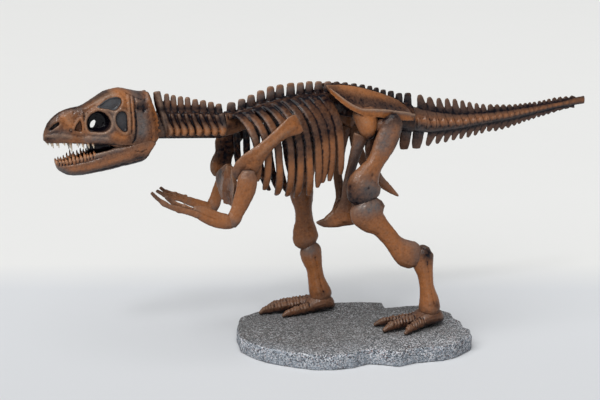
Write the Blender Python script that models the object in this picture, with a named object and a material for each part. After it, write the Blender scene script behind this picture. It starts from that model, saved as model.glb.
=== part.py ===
"""Cast dinosaur skeleton statue on a stone-look base, built as closed faceted solids.

Metres, +Z up.  The snout points to -X and the tail to +X, and the animal's left side is -Y.
The origin is on the base's flat underside, in the skeleton's mid-plane between the two feet.
"""
import math

import bmesh
import bpy
from mathutils import Vector

# ---------------------------------------------------------------- driving sizes
GAP = 0.0003                 # clearance between two cast pieces that touch
CLEAR = 0.0004               # how far a piece is grown before it is cut out of its neighbour
LEFT = -1                    # the animal's left side lies at -Y
RIGHT = 1

BASE_HEIGHT = 0.054
BASE_WALL_LEAN = 0.002       # how far the foot of the base wall stands inside its widest line
SOLE = BASE_HEIGHT + GAP     # the feet rest on this plane

NECK_FRONT_X = -0.655
TRUNK_FRONT_X = -0.428
SACRUM_FRONT_X = -0.054
TAIL_FRONT_X = 0.236
TAIL_MIDDLE_X = 0.512
TAIL_END_X = 0.708
TAIL_TIP_X = 0.900
SLIM_TAIL_X = 0.512             # behind this the tail core has only six sides

SPINE_BODY_HALF_WIDTH = 0.018    # flat-sided core of the back, which the ribs grow from
RIB_WIDEST_Z = 0.672
RIB_HALF_WIDTH = 0.0118          # half of a rib's breadth along the body
RIB_HALF_THICKNESS = 0.0055
RIB_SIDES = 5
RIB_STEPS = 6

TOOTH_HALF_WIDTH = 0.0030

BONE_BROWN = (0.33, 0.165, 0.075)
BONE_SHADOW = (0.16, 0.095, 0.06)
BONE_GREY = (0.21, 0.18, 0.155)
STONE_GREY = (0.27, 0.285, 0.305)


# ---------------------------------------------------------------- general helpers
def clear_scene():
    for thing in list(bpy.data.objects):
        bpy.data.objects.remove(thing, do_unlink=True)


def make_material(name, colour, roughness):
    material = bpy.data.materials.new(name)
    material.use_nodes = True
    surface = material.node_tree.nodes["Principled BSDF"]
    surface.inputs["Base Color"].default_value = (*colour, 1.0)
    surface.inputs["Roughness"].default_value = roughness
    surface.inputs["Metallic"].default_value = 0.0
    return material


def between(table, x):
    """Straight-line value at x from rows of (x, value, ...); the values come back as a list."""
    if x <= table[0][0]:
        return list(table[0][1:])
    for low, high in zip(table, table[1:]):
        if x <= high[0]:
            t = (x - low[0]) / (high[0] - low[0])
            return [a + (b - a) * t for a, b in zip(low[1:], high[1:])]
    return list(table[-1][1:])


def loft(rings):
    """Closed solid through rings of equal point counts: one face, extruded from ring to ring."""
    mesh = bmesh.new()
    corners = [mesh.verts.new(point) for point in rings[0]]
    face = mesh.faces.new(corners)
    for number, ring in enumerate(rings[1:]):
        before = {corner.co.to_tuple(7): index for index, corner in enumerate(corners)}
        out = bmesh.ops.extrude_face_region(mesh, geom=[face])
        if number:
            bmesh.ops.delete(mesh, geom=[face], context="FACES_ONLY")
        face = [item for item in out["geom"] if isinstance(item, bmesh.types.BMFace)][0]
        ordered = [None] * len(ring)
        for corner in face.verts:
            ordered[before[corner.co.to_tuple(7)]] = corner
        for corner, point in zip(ordered, ring):
            corner.co = point
        corners = ordered
    bmesh.ops.recalc_face_normals(mesh, faces=mesh.faces)
    return mesh


def bone(stations, sides=8, grow=0.0, lateral=(0.0, 1.0, 0.0), square=2.0):
    """Solid along a path.  A station is (x, y, z, breadth, depth): breadth lies across the path
    in side view, depth lies along the lateral direction.  Both ends are rounded a little."""
    centres = [Vector(row[:3]) for row in stations]
    lateral = Vector(lateral)
    rings = []
    last = len(centres) - 1
    for index, row in enumerate(stations):
        ahead = centres[min(index + 1, last)] - centres[max(index - 1, 0)]
        ahead.normalize()
        side = (lateral - ahead * lateral.dot(ahead)).normalized()
        across = side.cross(ahead)
        half_breadth = row[3] / 2 + grow
        half_depth = row[4] / 2 + grow
        centre = centres[index]
        if index == 0:
            centre = centre - ahead * grow
        if index == last:
            centre = centre + ahead * grow
        ring = []
        for step in range(sides):
            angle = 2 * math.pi * (step + 0.5) / sides
            c = math.cos(angle)
            s = math.sin(angle)
            c = math.copysign(abs(c) ** (2 / square), c)
            s = math.copysign(abs(s) ** (2 / square), s)
            ring.append(centre + across * half_breadth * c + side * half_depth * s)
        rings.append(ring)
    return loft(rings)


def box(low, high):
    mesh = bmesh.new()
    bmesh.ops.create_cube(mesh, size=1.0)
    size = Vector(high) - Vector(low)
    middle = (Vector(high) + Vector(low)) / 2
    bmesh.ops.scale(mesh, vec=size, verts=mesh.verts)
    bmesh.ops.translate(mesh, vec=middle, verts=mesh.verts)
    return mesh


def cylinder_across(x, z, radius_x, radius_z, y_low, y_high, segments=12, skew=0.0):
    """Elliptic cylinder that runs along Y; skew slides its +Y end along X."""
    rings = []
    for y in (y_low, y_high):
        slide = skew * (y - (y_low + y_high) / 2)
        rings.append([
            Vector((x + slide + radius_x * math.cos(2 * math.pi * step / segments), y,
                    z + radius_z * math.sin(2 * math.pi * step / segments)))
            for step in range(segments)])
    return loft(rings)


def spike(root, tip, half_width):
    """Three-sided pointed tooth from a root point to its tip."""
    root = Vector(root)
    tip = Vector(tip)
    ahead = (tip - root).normalized()
    side = ahead.orthogonal().normalized()
    other = ahead.cross(side)
    rings = []
    for centre, scale in ((root, 1.0), (tip, 0.2)):
        ring = []
        for step in range(3):
            angle = 2 * math.pi * step / 3
            arm = side * math.cos(angle) + other * math.sin(angle)
            ring.append(centre + arm * half_width * scale)
        rings.append(ring)
    return loft(rings)


def mesh_object(name, mesh):
    data = bpy.data.meshes.new(name)
    mesh.to_mesh(data)
    mesh.free()
    thing = bpy.data.objects.new(name, data)
    bpy.context.scene.collection.objects.link(thing)
    return thing


def combine(target, pieces, operation):
    """Boolean each piece into the target in turn, and drop the piece."""
    for index, piece in enumerate(pieces):
        tool = mesh_object("%s_tool_%02d" % (target.name, index), piece)
        step = target.modifiers.new(operation.lower(), "BOOLEAN")
        step.operation = operation
        step.solver = "EXACT"
        step.object = tool
        graph = bpy.context.evaluated_depsgraph_get()
        result = bpy.data.meshes.new_from_object(target.evaluated_get(graph))
        target.modifiers.clear()
        target.data = result
        bpy.data.objects.remove(tool, do_unlink=True)


def make_node(name, pieces, material, parent, cuts=()):
    """One named solid: the first piece, joined with the others, less the cuts."""
    node = mesh_object(name, pieces[0])
    combine(node, pieces[1:], "UNION")
    combine(node, cuts, "DIFFERENCE")
    tidy = bmesh.new()
    tidy.from_mesh(node.data)
    bmesh.ops.remove_doubles(tidy, verts=tidy.verts, dist=0.00003)
    bmesh.ops.dissolve_degenerate(tidy, edges=tidy.edges, dist=0.00003)
    bmesh.ops.triangulate(tidy, faces=tidy.faces)
    bmesh.ops.recalc_face_normals(tidy, faces=tidy.faces)
    tidy.to_mesh(node.data)
    tidy.free()
    node.data.materials.clear()
    node.data.materials.append(material)
    node.data.shade_smooth()
    node.data.set_sharp_from_angle(angle=math.radians(40))
    node.parent = parent
    return node


# ---------------------------------------------------------------- base
# outline of the slab seen from above, one corner at a time: x, y
BASE_OUTLINE = (
    (-0.390, -0.032), (-0.366, -0.114), (-0.326, -0.176), (-0.262, -0.240), (-0.209, -0.280),
    (-0.160, -0.294), (-0.098, -0.300), (-0.034, -0.282), (0.008, -0.306), (0.052, -0.342),
    (0.120, -0.326), (0.212, -0.338), (0.276, -0.318), (0.346, -0.272), (0.372, -0.214),
    (0.358, -0.180), (0.380, -0.116), (0.370, -0.076), (0.386, -0.028), (0.372, 0.014),
    (0.318, 0.090), (0.196, 0.108), (0.206, 0.168), (0.045, 0.226), (-0.115, 0.228),
    (-0.246, 0.218), (-0.326, 0.174), (-0.348, 0.134), (-0.372, 0.066),
)


def base_shape():
    rings = []
    for height, inset in ((0.0, BASE_WALL_LEAN), (0.018, 0.0), (0.046, 0.0), (BASE_HEIGHT, 0.006)):
        ring = []
        for x, y in BASE_OUTLINE:
            out = Vector((x, y + 0.05, 0.0)).normalized()
            ring.append(Vector((x - out.x * inset, y - out.y * inset, height)))
        rings.append(ring)
    return loft(rings)


# ---------------------------------------------------------------- head
# x at the roof, roof z, jaw-edge z, half width at the roof, half width at the jaw edge,
# and how far the bottom of the section lies behind its top
SKULL_SECTIONS = (
    (-1.009, 0.776, 0.762, 0.007, 0.009, 0.000),
    (-1.000, 0.787, 0.750, 0.013, 0.015, 0.000),
    (-0.981, 0.813, 0.752, 0.017, 0.021, 0.000),
    (-0.952, 0.838, 0.752, 0.020, 0.026, 0.000),
    (-0.924, 0.849, 0.750, 0.023, 0.031, 0.000),
    (-0.896, 0.855, 0.748, 0.029, 0.037, 0.000),
    (-0.856, 0.875, 0.743, 0.041, 0.048, 0.000),
    (-0.812, 0.899, 0.736, 0.051, 0.058, 0.000),
    (-0.766, 0.9065, 0.731, 0.055, 0.063, 0.000),
    (-0.734, 0.8995, 0.729, 0.054, 0.064, 0.008),
    (-0.704, 0.893, 0.731, 0.050, 0.062, 0.016),
    (-0.678, 0.892, 0.737, 0.046, 0.060, 0.026),
)
# one side of the skull's cross section, roof to palate: share of the half width, height -1..1
SKULL_SIDE = ((0.50, 0.95), (0.82, 0.66), (0.97, 0.15), (1.00, -0.45), (0.96, -0.88), (0.78, -1.0))


def skull_body(grow=0.0):
    rings = []
    for index, (x, roof, edge, half_top, half_low, lean) in enumerate(SKULL_SECTIONS):
        middle = (roof + edge) / 2
        half = (roof - edge) / 2 + grow
        shift = grow if index == len(SKULL_SECTIONS) - 1 else (-grow if index == 0 else 0.0)
        outline = [(0.0, 1.0)] + list(SKULL_SIDE) + [(-out, up) for out, up in SKULL_SIDE[::-1]]
        ring = []
        for out, up in outline:
            share = (1 - up) / 2
            width = half_top + (half_low - half_top) * share + grow
            ring.append(Vector((x + lean * share + shift, out * width, middle + half * up)))
        rings.append(ring)
    return loft(rings)


# eye sockets and side windows of the skull: x, z, radius x, radius z, depth of the recess
SKULL_WINDOWS = (
    (-0.843, 0.8130, 0.0375, 0.0325, 0.026),
    (-0.804, 0.8660, 0.0300, 0.0140, 0.014),
    (-0.774, 0.8110, 0.0145, 0.0300, 0.014),
    (-0.711, 0.8480, 0.0160, 0.0160, 0.014),
    (-0.908, 0.7970, 0.0100, 0.0160, 0.009),
    (-0.978, 0.7990, 0.0140, 0.0085, 0.007),
)
EYE_PASSAGE = (-0.853, 0.798, 0.0090, 0.0125)     # opening that joins the two eye sockets
THROAT_STATIONS = ((-0.868, 0.0, 0.738, 0.030, 0.050), (-0.80, 0.0, 0.734, 0.040, 0.066),
                   (-0.752, 0.0, 0.734, 0.040, 0.070))
# tooth position along the jaw edge and its length
UPPER_TEETH = ((-0.995, 0.007), (-0.984, 0.013), (-0.968, 0.014), (-0.950, 0.008), (-0.931, 0.0245),
               (-0.910, 0.012), (-0.890, 0.0215), (-0.877, 0.020), (-0.866, 0.012))
LOWER_TEETH = ((-0.966, 0.012), (-0.956, 0.014), (-0.945, 0.017), (-0.934, 0.019), (-0.923, 0.019),
               (-0.912, 0.017), (-0.901, 0.020), (-0.890, 0.020), (-0.879, 0.015), (-0.868, 0.012))


def skull_half_width(x, z):
    """Half width of the skull at a place on its side wall."""
    roof, edge, half_top, half_low, lean = between(SKULL_SECTIONS, x)
    share = min(max((roof - z) / (roof - edge), 0.0), 1.0)
    side = [((1 - up) / 2, out) for out, up in SKULL_SIDE]
    return (half_top + (half_low - half_top) * share) * between(side, share)[0]


def build_skull(material, parent):
    pieces = [skull_body(), bone(THROAT_STATIONS, sides=6, lateral=(0, 1, 0))]
    cuts = []
    for side in (LEFT, RIGHT):
        for x, length in UPPER_TEETH:
            edge, half = between(SKULL_SECTIONS, x)[1], between(SKULL_SECTIONS, x)[3]
            y = side * (half - 0.007)
            pieces.append(spike((x, y, edge + 0.010), (x + 0.001, y, edge - length),
                                TOOTH_HALF_WIDTH))
        for x, z, radius_x, radius_z, depth in SKULL_WINDOWS:
            wall = skull_half_width(x, z)
            inner = side * (wall - depth)
            outer = side * (wall + 0.03)
            cuts.append(cylinder_across(x, z, radius_x, radius_z, min(inner, outer),
                                        max(inner, outer), segments=8))
    x, z, radius_x, radius_z = EYE_PASSAGE
    cuts.append(cylinder_across(x, z, radius_x, radius_z, -0.04, 0.04, segments=8))
    return make_node("skull", pieces, material, parent, cuts)


# x, gum z, lower edge z, half width
JAW_SECTIONS = (
    (-0.977, 0.6890, 0.6830, 0.008),
    (-0.970, 0.6885, 0.6640, 0.016),
    (-0.955, 0.6885, 0.6505, 0.021),
    (-0.930, 0.6920, 0.6420, 0.027),
    (-0.895, 0.7000, 0.6410, 0.033),
    (-0.856, 0.7110, 0.6460, 0.041),
    (-0.810, 0.7220, 0.6530, 0.050),
    (-0.770, 0.7280, 0.6620, 0.057),
    (-0.730, 0.7280, 0.6690, 0.060),
    (-0.704, 0.7340, 0.6760, 0.060),
    (-0.684, 0.7350, 0.7010, 0.058),
    (-0.668, 0.7350, 0.7260, 0.054),
)


def jaw_body():
    rings = []
    for x, gum, low, half in JAW_SECTIONS:
        middle = (gum + low) / 2
        tall = (gum - low) / 2
        ring = []
        for out, up in ((0.85, 1), (1, 0.55), (1, -0.3), (0.72, -0.85), (0.3, -1),
                        (-0.3, -1), (-0.72, -0.85), (-1, -0.3), (-1, 0.55), (-0.85, 1)):
            ring.append(Vector((x, half * out, middle + tall * up)))
        rings.append(ring)
    return loft(rings)


def build_jaw(material, parent):
    pieces = [jaw_body()]
    for side in (LEFT, RIGHT):
        for x, length in LOWER_TEETH:
            gum, low, half = between(JAW_SECTIONS, x)
            y = side * (half - 0.005)
            pieces.append(spike((x, y, gum - 0.008), (x - 0.002, y, gum + length),
                                TOOTH_HALF_WIDTH))
    trough = []
    for x in (-0.955, -0.90, -0.85, -0.80, -0.745):
        gum, low, half = between(JAW_SECTIONS, x)
        inner = half - 0.011
        floor = low + 0.013
        trough.append([Vector((x, inner * 0.7, floor)), Vector((x, inner, floor + 0.012)),
                       Vector((x, inner, gum + 0.02)), Vector((x, -inner, gum + 0.02)),
                       Vector((x, -inner, floor + 0.012)), Vector((x, -inner * 0.7, floor))])
    return make_node("lower_jaw", pieces, material, parent, [loft(trough), skull_body(CLEAR)])


# ---------------------------------------------------------------- back bone
# x, underside z, top of the body z, half width of the body
COLUMN = (
    (-0.660, 0.742, 0.826, 0.026),
    (-0.610, 0.739, 0.823, 0.027),
    (-0.520, 0.734, 0.818, 0.027),
    (-0.440, 0.729, 0.809, 0.026),
    (-0.390, 0.738, 0.811, 0.018),
    (-0.330, 0.758, 0.826, 0.018),
    (-0.240, 0.782, 0.847, 0.018),
    (-0.150, 0.790, 0.855, 0.018),
    (-0.060, 0.784, 0.856, 0.018),
    (0.020, 0.764, 0.846, 0.022),
    (0.120, 0.738, 0.828, 0.026),
    (0.210, 0.706, 0.800, 0.028),
    (0.300, 0.694, 0.775, 0.027),
    (0.400, 0.700, 0.757, 0.022),
    (0.500, 0.712, 0.754, 0.018),
    (0.600, 0.722, 0.757, 0.014),
    (0.700, 0.738, 0.765, 0.010),
    (0.800, 0.755, 0.775, 0.007),
    (0.900, 0.768, 0.786, 0.006),
)
# spines and chevrons: x of the tip, z of the tip
NECK_SPINES = ((-0.646, 0.891), (-0.616, 0.881), (-0.594, 0.875), (-0.571, 0.870), (-0.548, 0.866),
               (-0.523, 0.858), (-0.497, 0.853), (-0.471, 0.846), (-0.445, 0.839))
TRUNK_SPINES = ((-0.4025, 0.841), (-0.367, 0.850), (-0.3355, 0.8615), (-0.3025, 0.874),
                (-0.269, 0.886), (-0.2365, 0.890), (-0.200, 0.8935), (-0.166, 0.893),
                (-0.135, 0.8955), (-0.103, 0.8935), (-0.070, 0.8915))
SACRAL_SPINES = ((-0.040, 0.889), (-0.010, 0.885), (0.022, 0.880), (0.052, 0.875), (0.079, 0.869),
                 (0.103, 0.862), (0.128, 0.854), (0.156, 0.848), (0.186, 0.839), (0.218, 0.838))
TAIL_SPINES = ((0.262, 0.829), (0.298, 0.819), (0.333, 0.814), (0.364, 0.811), (0.393, 0.808),
               (0.422, 0.801), (0.449, 0.794), (0.476, 0.788), (0.501, 0.784), (0.528, 0.781),
               (0.554, 0.779), (0.578, 0.777), (0.602, 0.776), (0.625, 0.776), (0.645, 0.777),
               (0.664, 0.778), (0.682, 0.779), (0.700, 0.780), (0.720, 0.782), (0.738, 0.784),
               (0.757, 0.787), (0.778, 0.790), (0.800, 0.791), (0.822, 0.791), (0.845, 0.791))
BROAD_CHEVRONS = ((0.2095, 0.640), (0.2555, 0.640))     # the two under the hips, broad and blunt
BROAD_CHEVRON_LENGTH = 0.034
TAIL_CHEVRONS = (BROAD_CHEVRONS[1], (0.298, 0.650), (0.333, 0.655), (0.364, 0.658),
                 (0.393, 0.663), (0.422, 0.666), (0.449, 0.669), (0.476, 0.674), (0.501, 0.680),
                 (0.528, 0.685), (0.554, 0.685), (0.578, 0.689), (0.602, 0.693), (0.625, 0.699),
                 (0.645, 0.704), (0.664, 0.710), (0.682, 0.714), (0.700, 0.719), (0.720, 0.724),
                 (0.738, 0.727), (0.757, 0.732), (0.778, 0.738), (0.800, 0.745), (0.822, 0.751),
                 (0.845, 0.756))


def column_ring(x, peg_half, chevron_half):
    low, top, half = between(COLUMN, x)
    tall = top - low
    right = [(peg_half, top), (half, top - 0.22 * tall), (half, low + 0.25 * tall),
             (chevron_half, low)]
    if x > SLIM_TAIL_X:
        right = [(peg_half, top), (half, (low + top) / 2), (chevron_half, low)]
    points = right + [(-y, z) for y, z in reversed(right)]
    return [Vector((x, y, z)) for y, z in points]


def column(front, rear, spines, chevrons, plate_share, peg_half, chevron_half, top_share):
    """Core of the back bone between two cross planes, with a plate drawn up from the roof for
    each spine and another drawn down for each chevron."""
    half_lengths = []
    for index in range(len(spines)):
        near = [abs(spines[index][0] - other[0]) for other in spines if other is not spines[index]]
        half_lengths.append(min(near) * plate_share / 2)
    stops = []
    for (tip_x, tip_z), half_length in zip(spines, half_lengths):
        stops.append((tip_x - half_length, tip_x + half_length))
    places = [front]
    for low, high in stops:
        if low > places[-1] + 0.0015:
            places.append(low)
        places.append(high)
    if places[-1] > rear - 0.002:
        places[-1] = rear
    else:
        places.append(rear)
    rings = [column_ring(x, peg_half, chevron_half) for x in places]
    mesh = loft(rings)
    mesh.faces.ensure_lookup_table()
    for (tip_x, tip_z), (low, high) in zip(spines, stops):
        steps = ((1.0, (high - low) / 2 * top_share),)
        raise_plate(mesh, tip_x, 1, (tip_x, tip_z), peg_half, steps)
    for tip_x, tip_z in chevrons:
        low, high = min(stops, key=lambda stop: abs((stop[0] + stop[1]) / 2 - tip_x))
        steps = ((1.0, (high - low) / 2 * top_share),)
        if (tip_x, tip_z) in BROAD_CHEVRONS:
            half_length = BROAD_CHEVRON_LENGTH / 2
            steps = ((0.35, half_length), (0.85, half_length * 0.92), (1.0, half_length * 0.7))
        raise_plate(mesh, (low + high) / 2, -1, (tip_x, tip_z), chevron_half, steps)
    bmesh.ops.recalc_face_normals(mesh, faces=mesh.faces)
    return mesh


def spine_side_cut():
    """Block a little wider than the back bone, which leaves ribs and ilium standing clear."""
    rings = []
    for row in COLUMN[2:13]:
        half = row[3] + GAP
        rings.append([Vector((row[0], half, 0.60)), Vector((row[0], half, 1.0)),
                      Vector((row[0], -half, 1.0)), Vector((row[0], -half, 0.60))])
    return loft(rings)


def raise_plate(mesh, centre, way, tip, half, steps):
    """Draw the roof face (way 1) or floor face (way -1) over the given x out to its tip.
    Each step is the share of the way to the tip and the plate's half length there."""
    chosen = None
    for face in mesh.faces:
        spread = [corner.co for corner in face.verts]
        if max(abs(point.y) for point in spread) > half + 0.00001 or len(spread) != 4:
            continue
        low = min(point.x for point in spread)
        high = max(point.x for point in spread)
        if high - low < 0.001 or not low - 0.0001 <= centre <= high + 0.0001:
            continue
        level = sum(point.z for point in spread) / 4
        if chosen is None or way * level > way * chosen[0]:
            chosen = (level, face)
    face = chosen[1]
    root = sum((corner.co for corner in face.verts), Vector()) / 4
    middle_x = root.x
    for share, half_length in steps:
        out = bmesh.ops.extrude_face_region(mesh, geom=[face])
        bmesh.ops.delete(mesh, geom=[face], context="FACES_ONLY")
        face = [item for item in out["geom"] if isinstance(item, bmesh.types.BMFace)][0]
        x = root.x + (tip[0] - root.x) * share
        z = root.z + (tip[1] - root.z) * share
        for corner in face.verts:
            side_x = 1 if corner.co.x > middle_x else -1
            side_y = 1 if corner.co.y > 0 else -1
            corner.co = (x + side_x * half_length, side_y * half * (1.0 - 0.35 * share), z)
        middle_x = x


def build_column(parent, brown, grey):
    make_node("neck", [column(NECK_FRONT_X, TRUNK_FRONT_X - GAP / 2, NECK_SPINES, (), 0.82, 0.006,
                              0.014, 0.82)], brown, parent, [skull_body(CLEAR)])
    make_node("trunk_spine", [column(TRUNK_FRONT_X + GAP / 2, SACRUM_FRONT_X - GAP / 2,
                                     TRUNK_SPINES, (), 0.82, 0.006, 0.010, 0.80)],
              grey, parent)
    make_node("sacrum", [column(SACRUM_FRONT_X + GAP / 2, TAIL_FRONT_X - GAP / 2, SACRAL_SPINES,
                                BROAD_CHEVRONS[:1], 0.80, 0.006, 0.009, 0.80)],
              grey, parent)
    cuts = (TAIL_FRONT_X, TAIL_MIDDLE_X, TAIL_END_X, TAIL_TIP_X)
    for index, (front, rear) in enumerate(zip(cuts, cuts[1:])):
        spines = [row for row in TAIL_SPINES if front < row[0] < rear]
        chevrons = [row for row in TAIL_CHEVRONS if front < row[0] < rear]
        half = (0.0045, 0.0035, 0.0025)[index]
        solid = column(front + GAP / 2, rear - (GAP / 2 if rear < TAIL_TIP_X else 0.0), spines,
                       chevrons, 0.72, half, half, 0.66)
        make_node("tail_%d" % (index + 1), [solid], brown, parent)


# ---------------------------------------------------------------- ribs
# x of the head, x at the widest place, x of the tip, z of the tip, reach out from the mid-plane
RIBS = (
    (-0.402, -0.350, -0.347, 0.597, 0.113),
    (-0.370, -0.316, -0.311, 0.561, 0.113),
    (-0.338, -0.280, -0.263, 0.532, 0.113),
    (-0.307, -0.239, -0.228, 0.526, 0.113),
    (-0.275, -0.207, -0.198, 0.518, 0.113),
    (-0.243, -0.178, -0.159, 0.527, 0.113),
    (-0.211, -0.144, -0.136, 0.557, 0.108),
    (-0.179, -0.1165, -0.120, 0.573, 0.103),
    (-0.148, -0.092, -0.095, 0.576, 0.098),
    (-0.116, -0.059, -0.056, 0.595, 0.092),
)


def rib_path(row):
    """Centre line of one left rib as (x, y, z) from its head to its tip."""
    head_x, widest_x, tip_x, tip_z, reach = row
    head_z = between(COLUMN, head_x)[1] - 0.010
    rise = head_z - RIB_WIDEST_Z + 0.006
    start = math.asin(SPINE_BODY_HALF_WIDTH * 1.2 / reach)
    end = math.acos(max((tip_z - RIB_WIDEST_Z) / rise, -0.95))
    points = []
    for step in range(RIB_STEPS + 1):
        angle = start + (end - start) * step / RIB_STEPS
        y = -reach * math.sin(angle)
        z = RIB_WIDEST_Z + rise * math.cos(angle)
        past = max(angle - math.pi / 2, 0.0) / (end - math.pi / 2)
        x = head_x + (widest_x - head_x) * math.sin(min(angle, math.pi / 2))
        points.append((x + (tip_x - widest_x) * past, y, z))
    return points


def rib_solid(row, side):
    centres = [Vector(point) for point in rib_path(row)]
    last = len(centres) - 1
    rings = []
    for index, centre in enumerate(centres):
        ahead = (centres[min(index + 1, last)] - centres[max(index - 1, 0)]).normalized()
        outward = Vector((0.0, centre.y, (centre.z - RIB_WIDEST_Z) * 0.6)).normalized()
        outward = (outward - ahead * outward.dot(ahead)).normalized()
        broad = outward.cross(ahead)
        taper = (0.75, 0.82, 0.94, 1.06, 1.12, 1.04, 0.62)[index]
        ring = []
        for step in range(RIB_SIDES):
            angle = 2 * math.pi * step / RIB_SIDES
            ring.append(centre + broad * RIB_HALF_WIDTH * taper * math.cos(angle)
                        + outward * RIB_HALF_THICKNESS * math.sin(angle))
        if side == RIGHT:
            ring = [Vector((point.x, -point.y, point.z)) for point in ring]
        rings.append(ring)
    return loft(rings)


def build_ribs(side, name, material, parent):
    rings = []
    for x in (-0.421, -0.36, -0.30, -0.24, -0.18, -0.12, -0.075):
        top = between(COLUMN, x)[1]
        inner = side * (SPINE_BODY_HALF_WIDTH - 0.004)
        outer = side * (SPINE_BODY_HALF_WIDTH + 0.014)
        rings.append([Vector((x, inner, top - 0.020)), Vector((x, outer, top - 0.018)),
                      Vector((x, outer, top - 0.005)), Vector((x, inner, top - 0.001))])
    pieces = [loft(rings)]
    pieces += [rib_solid(row, side) for row in RIBS]
    return make_node(name, pieces, material, parent, [spine_side_cut()])


# ---------------------------------------------------------------- shoulder, arms, chest
# x, y, z, breadth in side view, lateral depth (left side; the right side is mirrored)
SCAPULA = ((-0.2120, -0.1310, 0.7880, 0.050, 0.008), (-0.2260, -0.1310, 0.7800, 0.058, 0.010),
           (-0.2600, -0.1310, 0.7600, 0.046, 0.012), (-0.3000, -0.1320, 0.7330, 0.042, 0.014),
           (-0.3450, -0.1310, 0.6980, 0.054, 0.018), (-0.3820, -0.1270, 0.6640, 0.078, 0.024),
           (-0.4080, -0.1180, 0.6380, 0.074, 0.026), (-0.4280, -0.1080, 0.6240, 0.040, 0.018))
SCAPULA_RIGHT = ((-0.2120, 0.1310, 0.7880, 0.050, 0.008), (-0.2260, 0.1310, 0.7800, 0.058, 0.010),
                 (-0.2600, 0.1310, 0.7600, 0.046, 0.012), (-0.3000, 0.1320, 0.7350, 0.046, 0.014),
                 (-0.3450, 0.1300, 0.7120, 0.066, 0.018), (-0.3780, 0.1270, 0.6840, 0.094, 0.022),
                 (-0.3920, 0.1220, 0.6480, 0.068, 0.026), (-0.4040, 0.1150, 0.6120, 0.070, 0.024),
                 (-0.4090, 0.1100, 0.5880, 0.044, 0.018), (-0.4100, 0.1080, 0.5760, 0.028, 0.014))
HUMERUS = {
    LEFT: ((-0.385, -0.1397, 0.6214, 0.041, 0.035), (-0.3893, -0.1408, 0.6026, 0.056, 0.041),
           (-0.395, -0.141, 0.575, 0.052, 0.036), (-0.412, -0.140, 0.543, 0.050, 0.032),
           (-0.430, -0.140, 0.510, 0.048, 0.032), (-0.442, -0.140, 0.487, 0.050, 0.036),
           (-0.450, -0.140, 0.470, 0.034, 0.028)),
    RIGHT: ((-0.380, 0.136, 0.612, 0.040, 0.034), (-0.384, 0.137, 0.592, 0.056, 0.040),
            (-0.392, 0.137, 0.560, 0.050, 0.036), (-0.405, 0.136, 0.528, 0.048, 0.032),
            (-0.419, 0.136, 0.495, 0.046, 0.032), (-0.428, 0.136, 0.470, 0.048, 0.036),
            (-0.433, 0.136, 0.452, 0.034, 0.028)),
}
FOREARM = {
    LEFT: ((-0.446, -0.138, 0.476, 0.030, 0.026), (-0.462, -0.138, 0.480, 0.042, 0.032),
           (-0.490, -0.137, 0.487, 0.040, 0.028), (-0.522, -0.136, 0.500, 0.036, 0.026),
           (-0.552, -0.135, 0.514, 0.032, 0.028), (-0.566, -0.135, 0.520, 0.022, 0.022)),
    RIGHT: ((-0.429, 0.134, 0.459, 0.030, 0.026), (-0.440, 0.134, 0.463, 0.040, 0.032),
            (-0.460, 0.133, 0.471, 0.038, 0.028), (-0.490, 0.132, 0.484, 0.034, 0.026),
            (-0.518, 0.131, 0.496, 0.030, 0.028), (-0.531, 0.131, 0.501, 0.022, 0.022)),
}
# two fingers a hand: outer then inner
FINGERS = {
    LEFT: (((-0.558, -0.138, 0.515, 0.022, 0.016), (-0.590, -0.143, 0.526, 0.020, 0.013),
            (-0.625, -0.147, 0.539, 0.018, 0.011), (-0.657, -0.148, 0.553, 0.016, 0.011),
            (-0.686, -0.147, 0.575, 0.013, 0.009), (-0.708, -0.145, 0.598, 0.006, 0.005)),
           ((-0.558, -0.130, 0.518, 0.022, 0.016), (-0.586, -0.122, 0.531, 0.018, 0.012),
            (-0.612, -0.116, 0.543, 0.016, 0.011), (-0.636, -0.112, 0.556, 0.013, 0.009),
            (-0.654, -0.110, 0.572, 0.006, 0.005))),
    RIGHT: (((-0.524, 0.128, 0.498, 0.022, 0.016), (-0.552, 0.122, 0.509, 0.020, 0.013),
             (-0.582, 0.118, 0.519, 0.018, 0.011), (-0.606, 0.116, 0.529, 0.014, 0.010),
             (-0.626, 0.116, 0.541, 0.006, 0.005)),
            ((-0.524, 0.136, 0.502, 0.022, 0.016), (-0.552, 0.143, 0.514, 0.018, 0.012),
             (-0.576, 0.148, 0.522, 0.016, 0.011), (-0.592, 0.150, 0.531, 0.012, 0.009),
             (-0.605, 0.150, 0.543, 0.006, 0.005))),
}


def mirrored(stations, side):
    return [(row[0], row[1] * -side, row[2]) + tuple(row[3:]) for row in stations]


def scapula_shape(side, grow=0.0):
    return bone(SCAPULA if side == LEFT else SCAPULA_RIGHT, sides=8, grow=grow, square=2.4)


# chest plate between the shoulders: z, x, half width, curl back of its edges
CHEST_PLATE = ((0.632, -0.412, 0.070, 0.006), (0.612, -0.426, 0.084, 0.008),
               (0.575, -0.436, 0.078, 0.010), (0.540, -0.438, 0.064, 0.008),
               (0.508, -0.430, 0.048, 0.006))
CHEST_PLATE_THICKNESS = 0.012


def chest_plate():
    rings = []
    for z, x, half, curl in CHEST_PLATE:
        front = []
        rear = []
        for step in range(5):
            t = step / 2 - 1
            y = half * t
            front.append(Vector((x + curl * t * t, y, z)))
            rear.append(Vector((x + curl * t * t + CHEST_PLATE_THICKNESS, y, z)))
        rings.append(front + list(reversed(rear)))
    return loft(rings)


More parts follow.
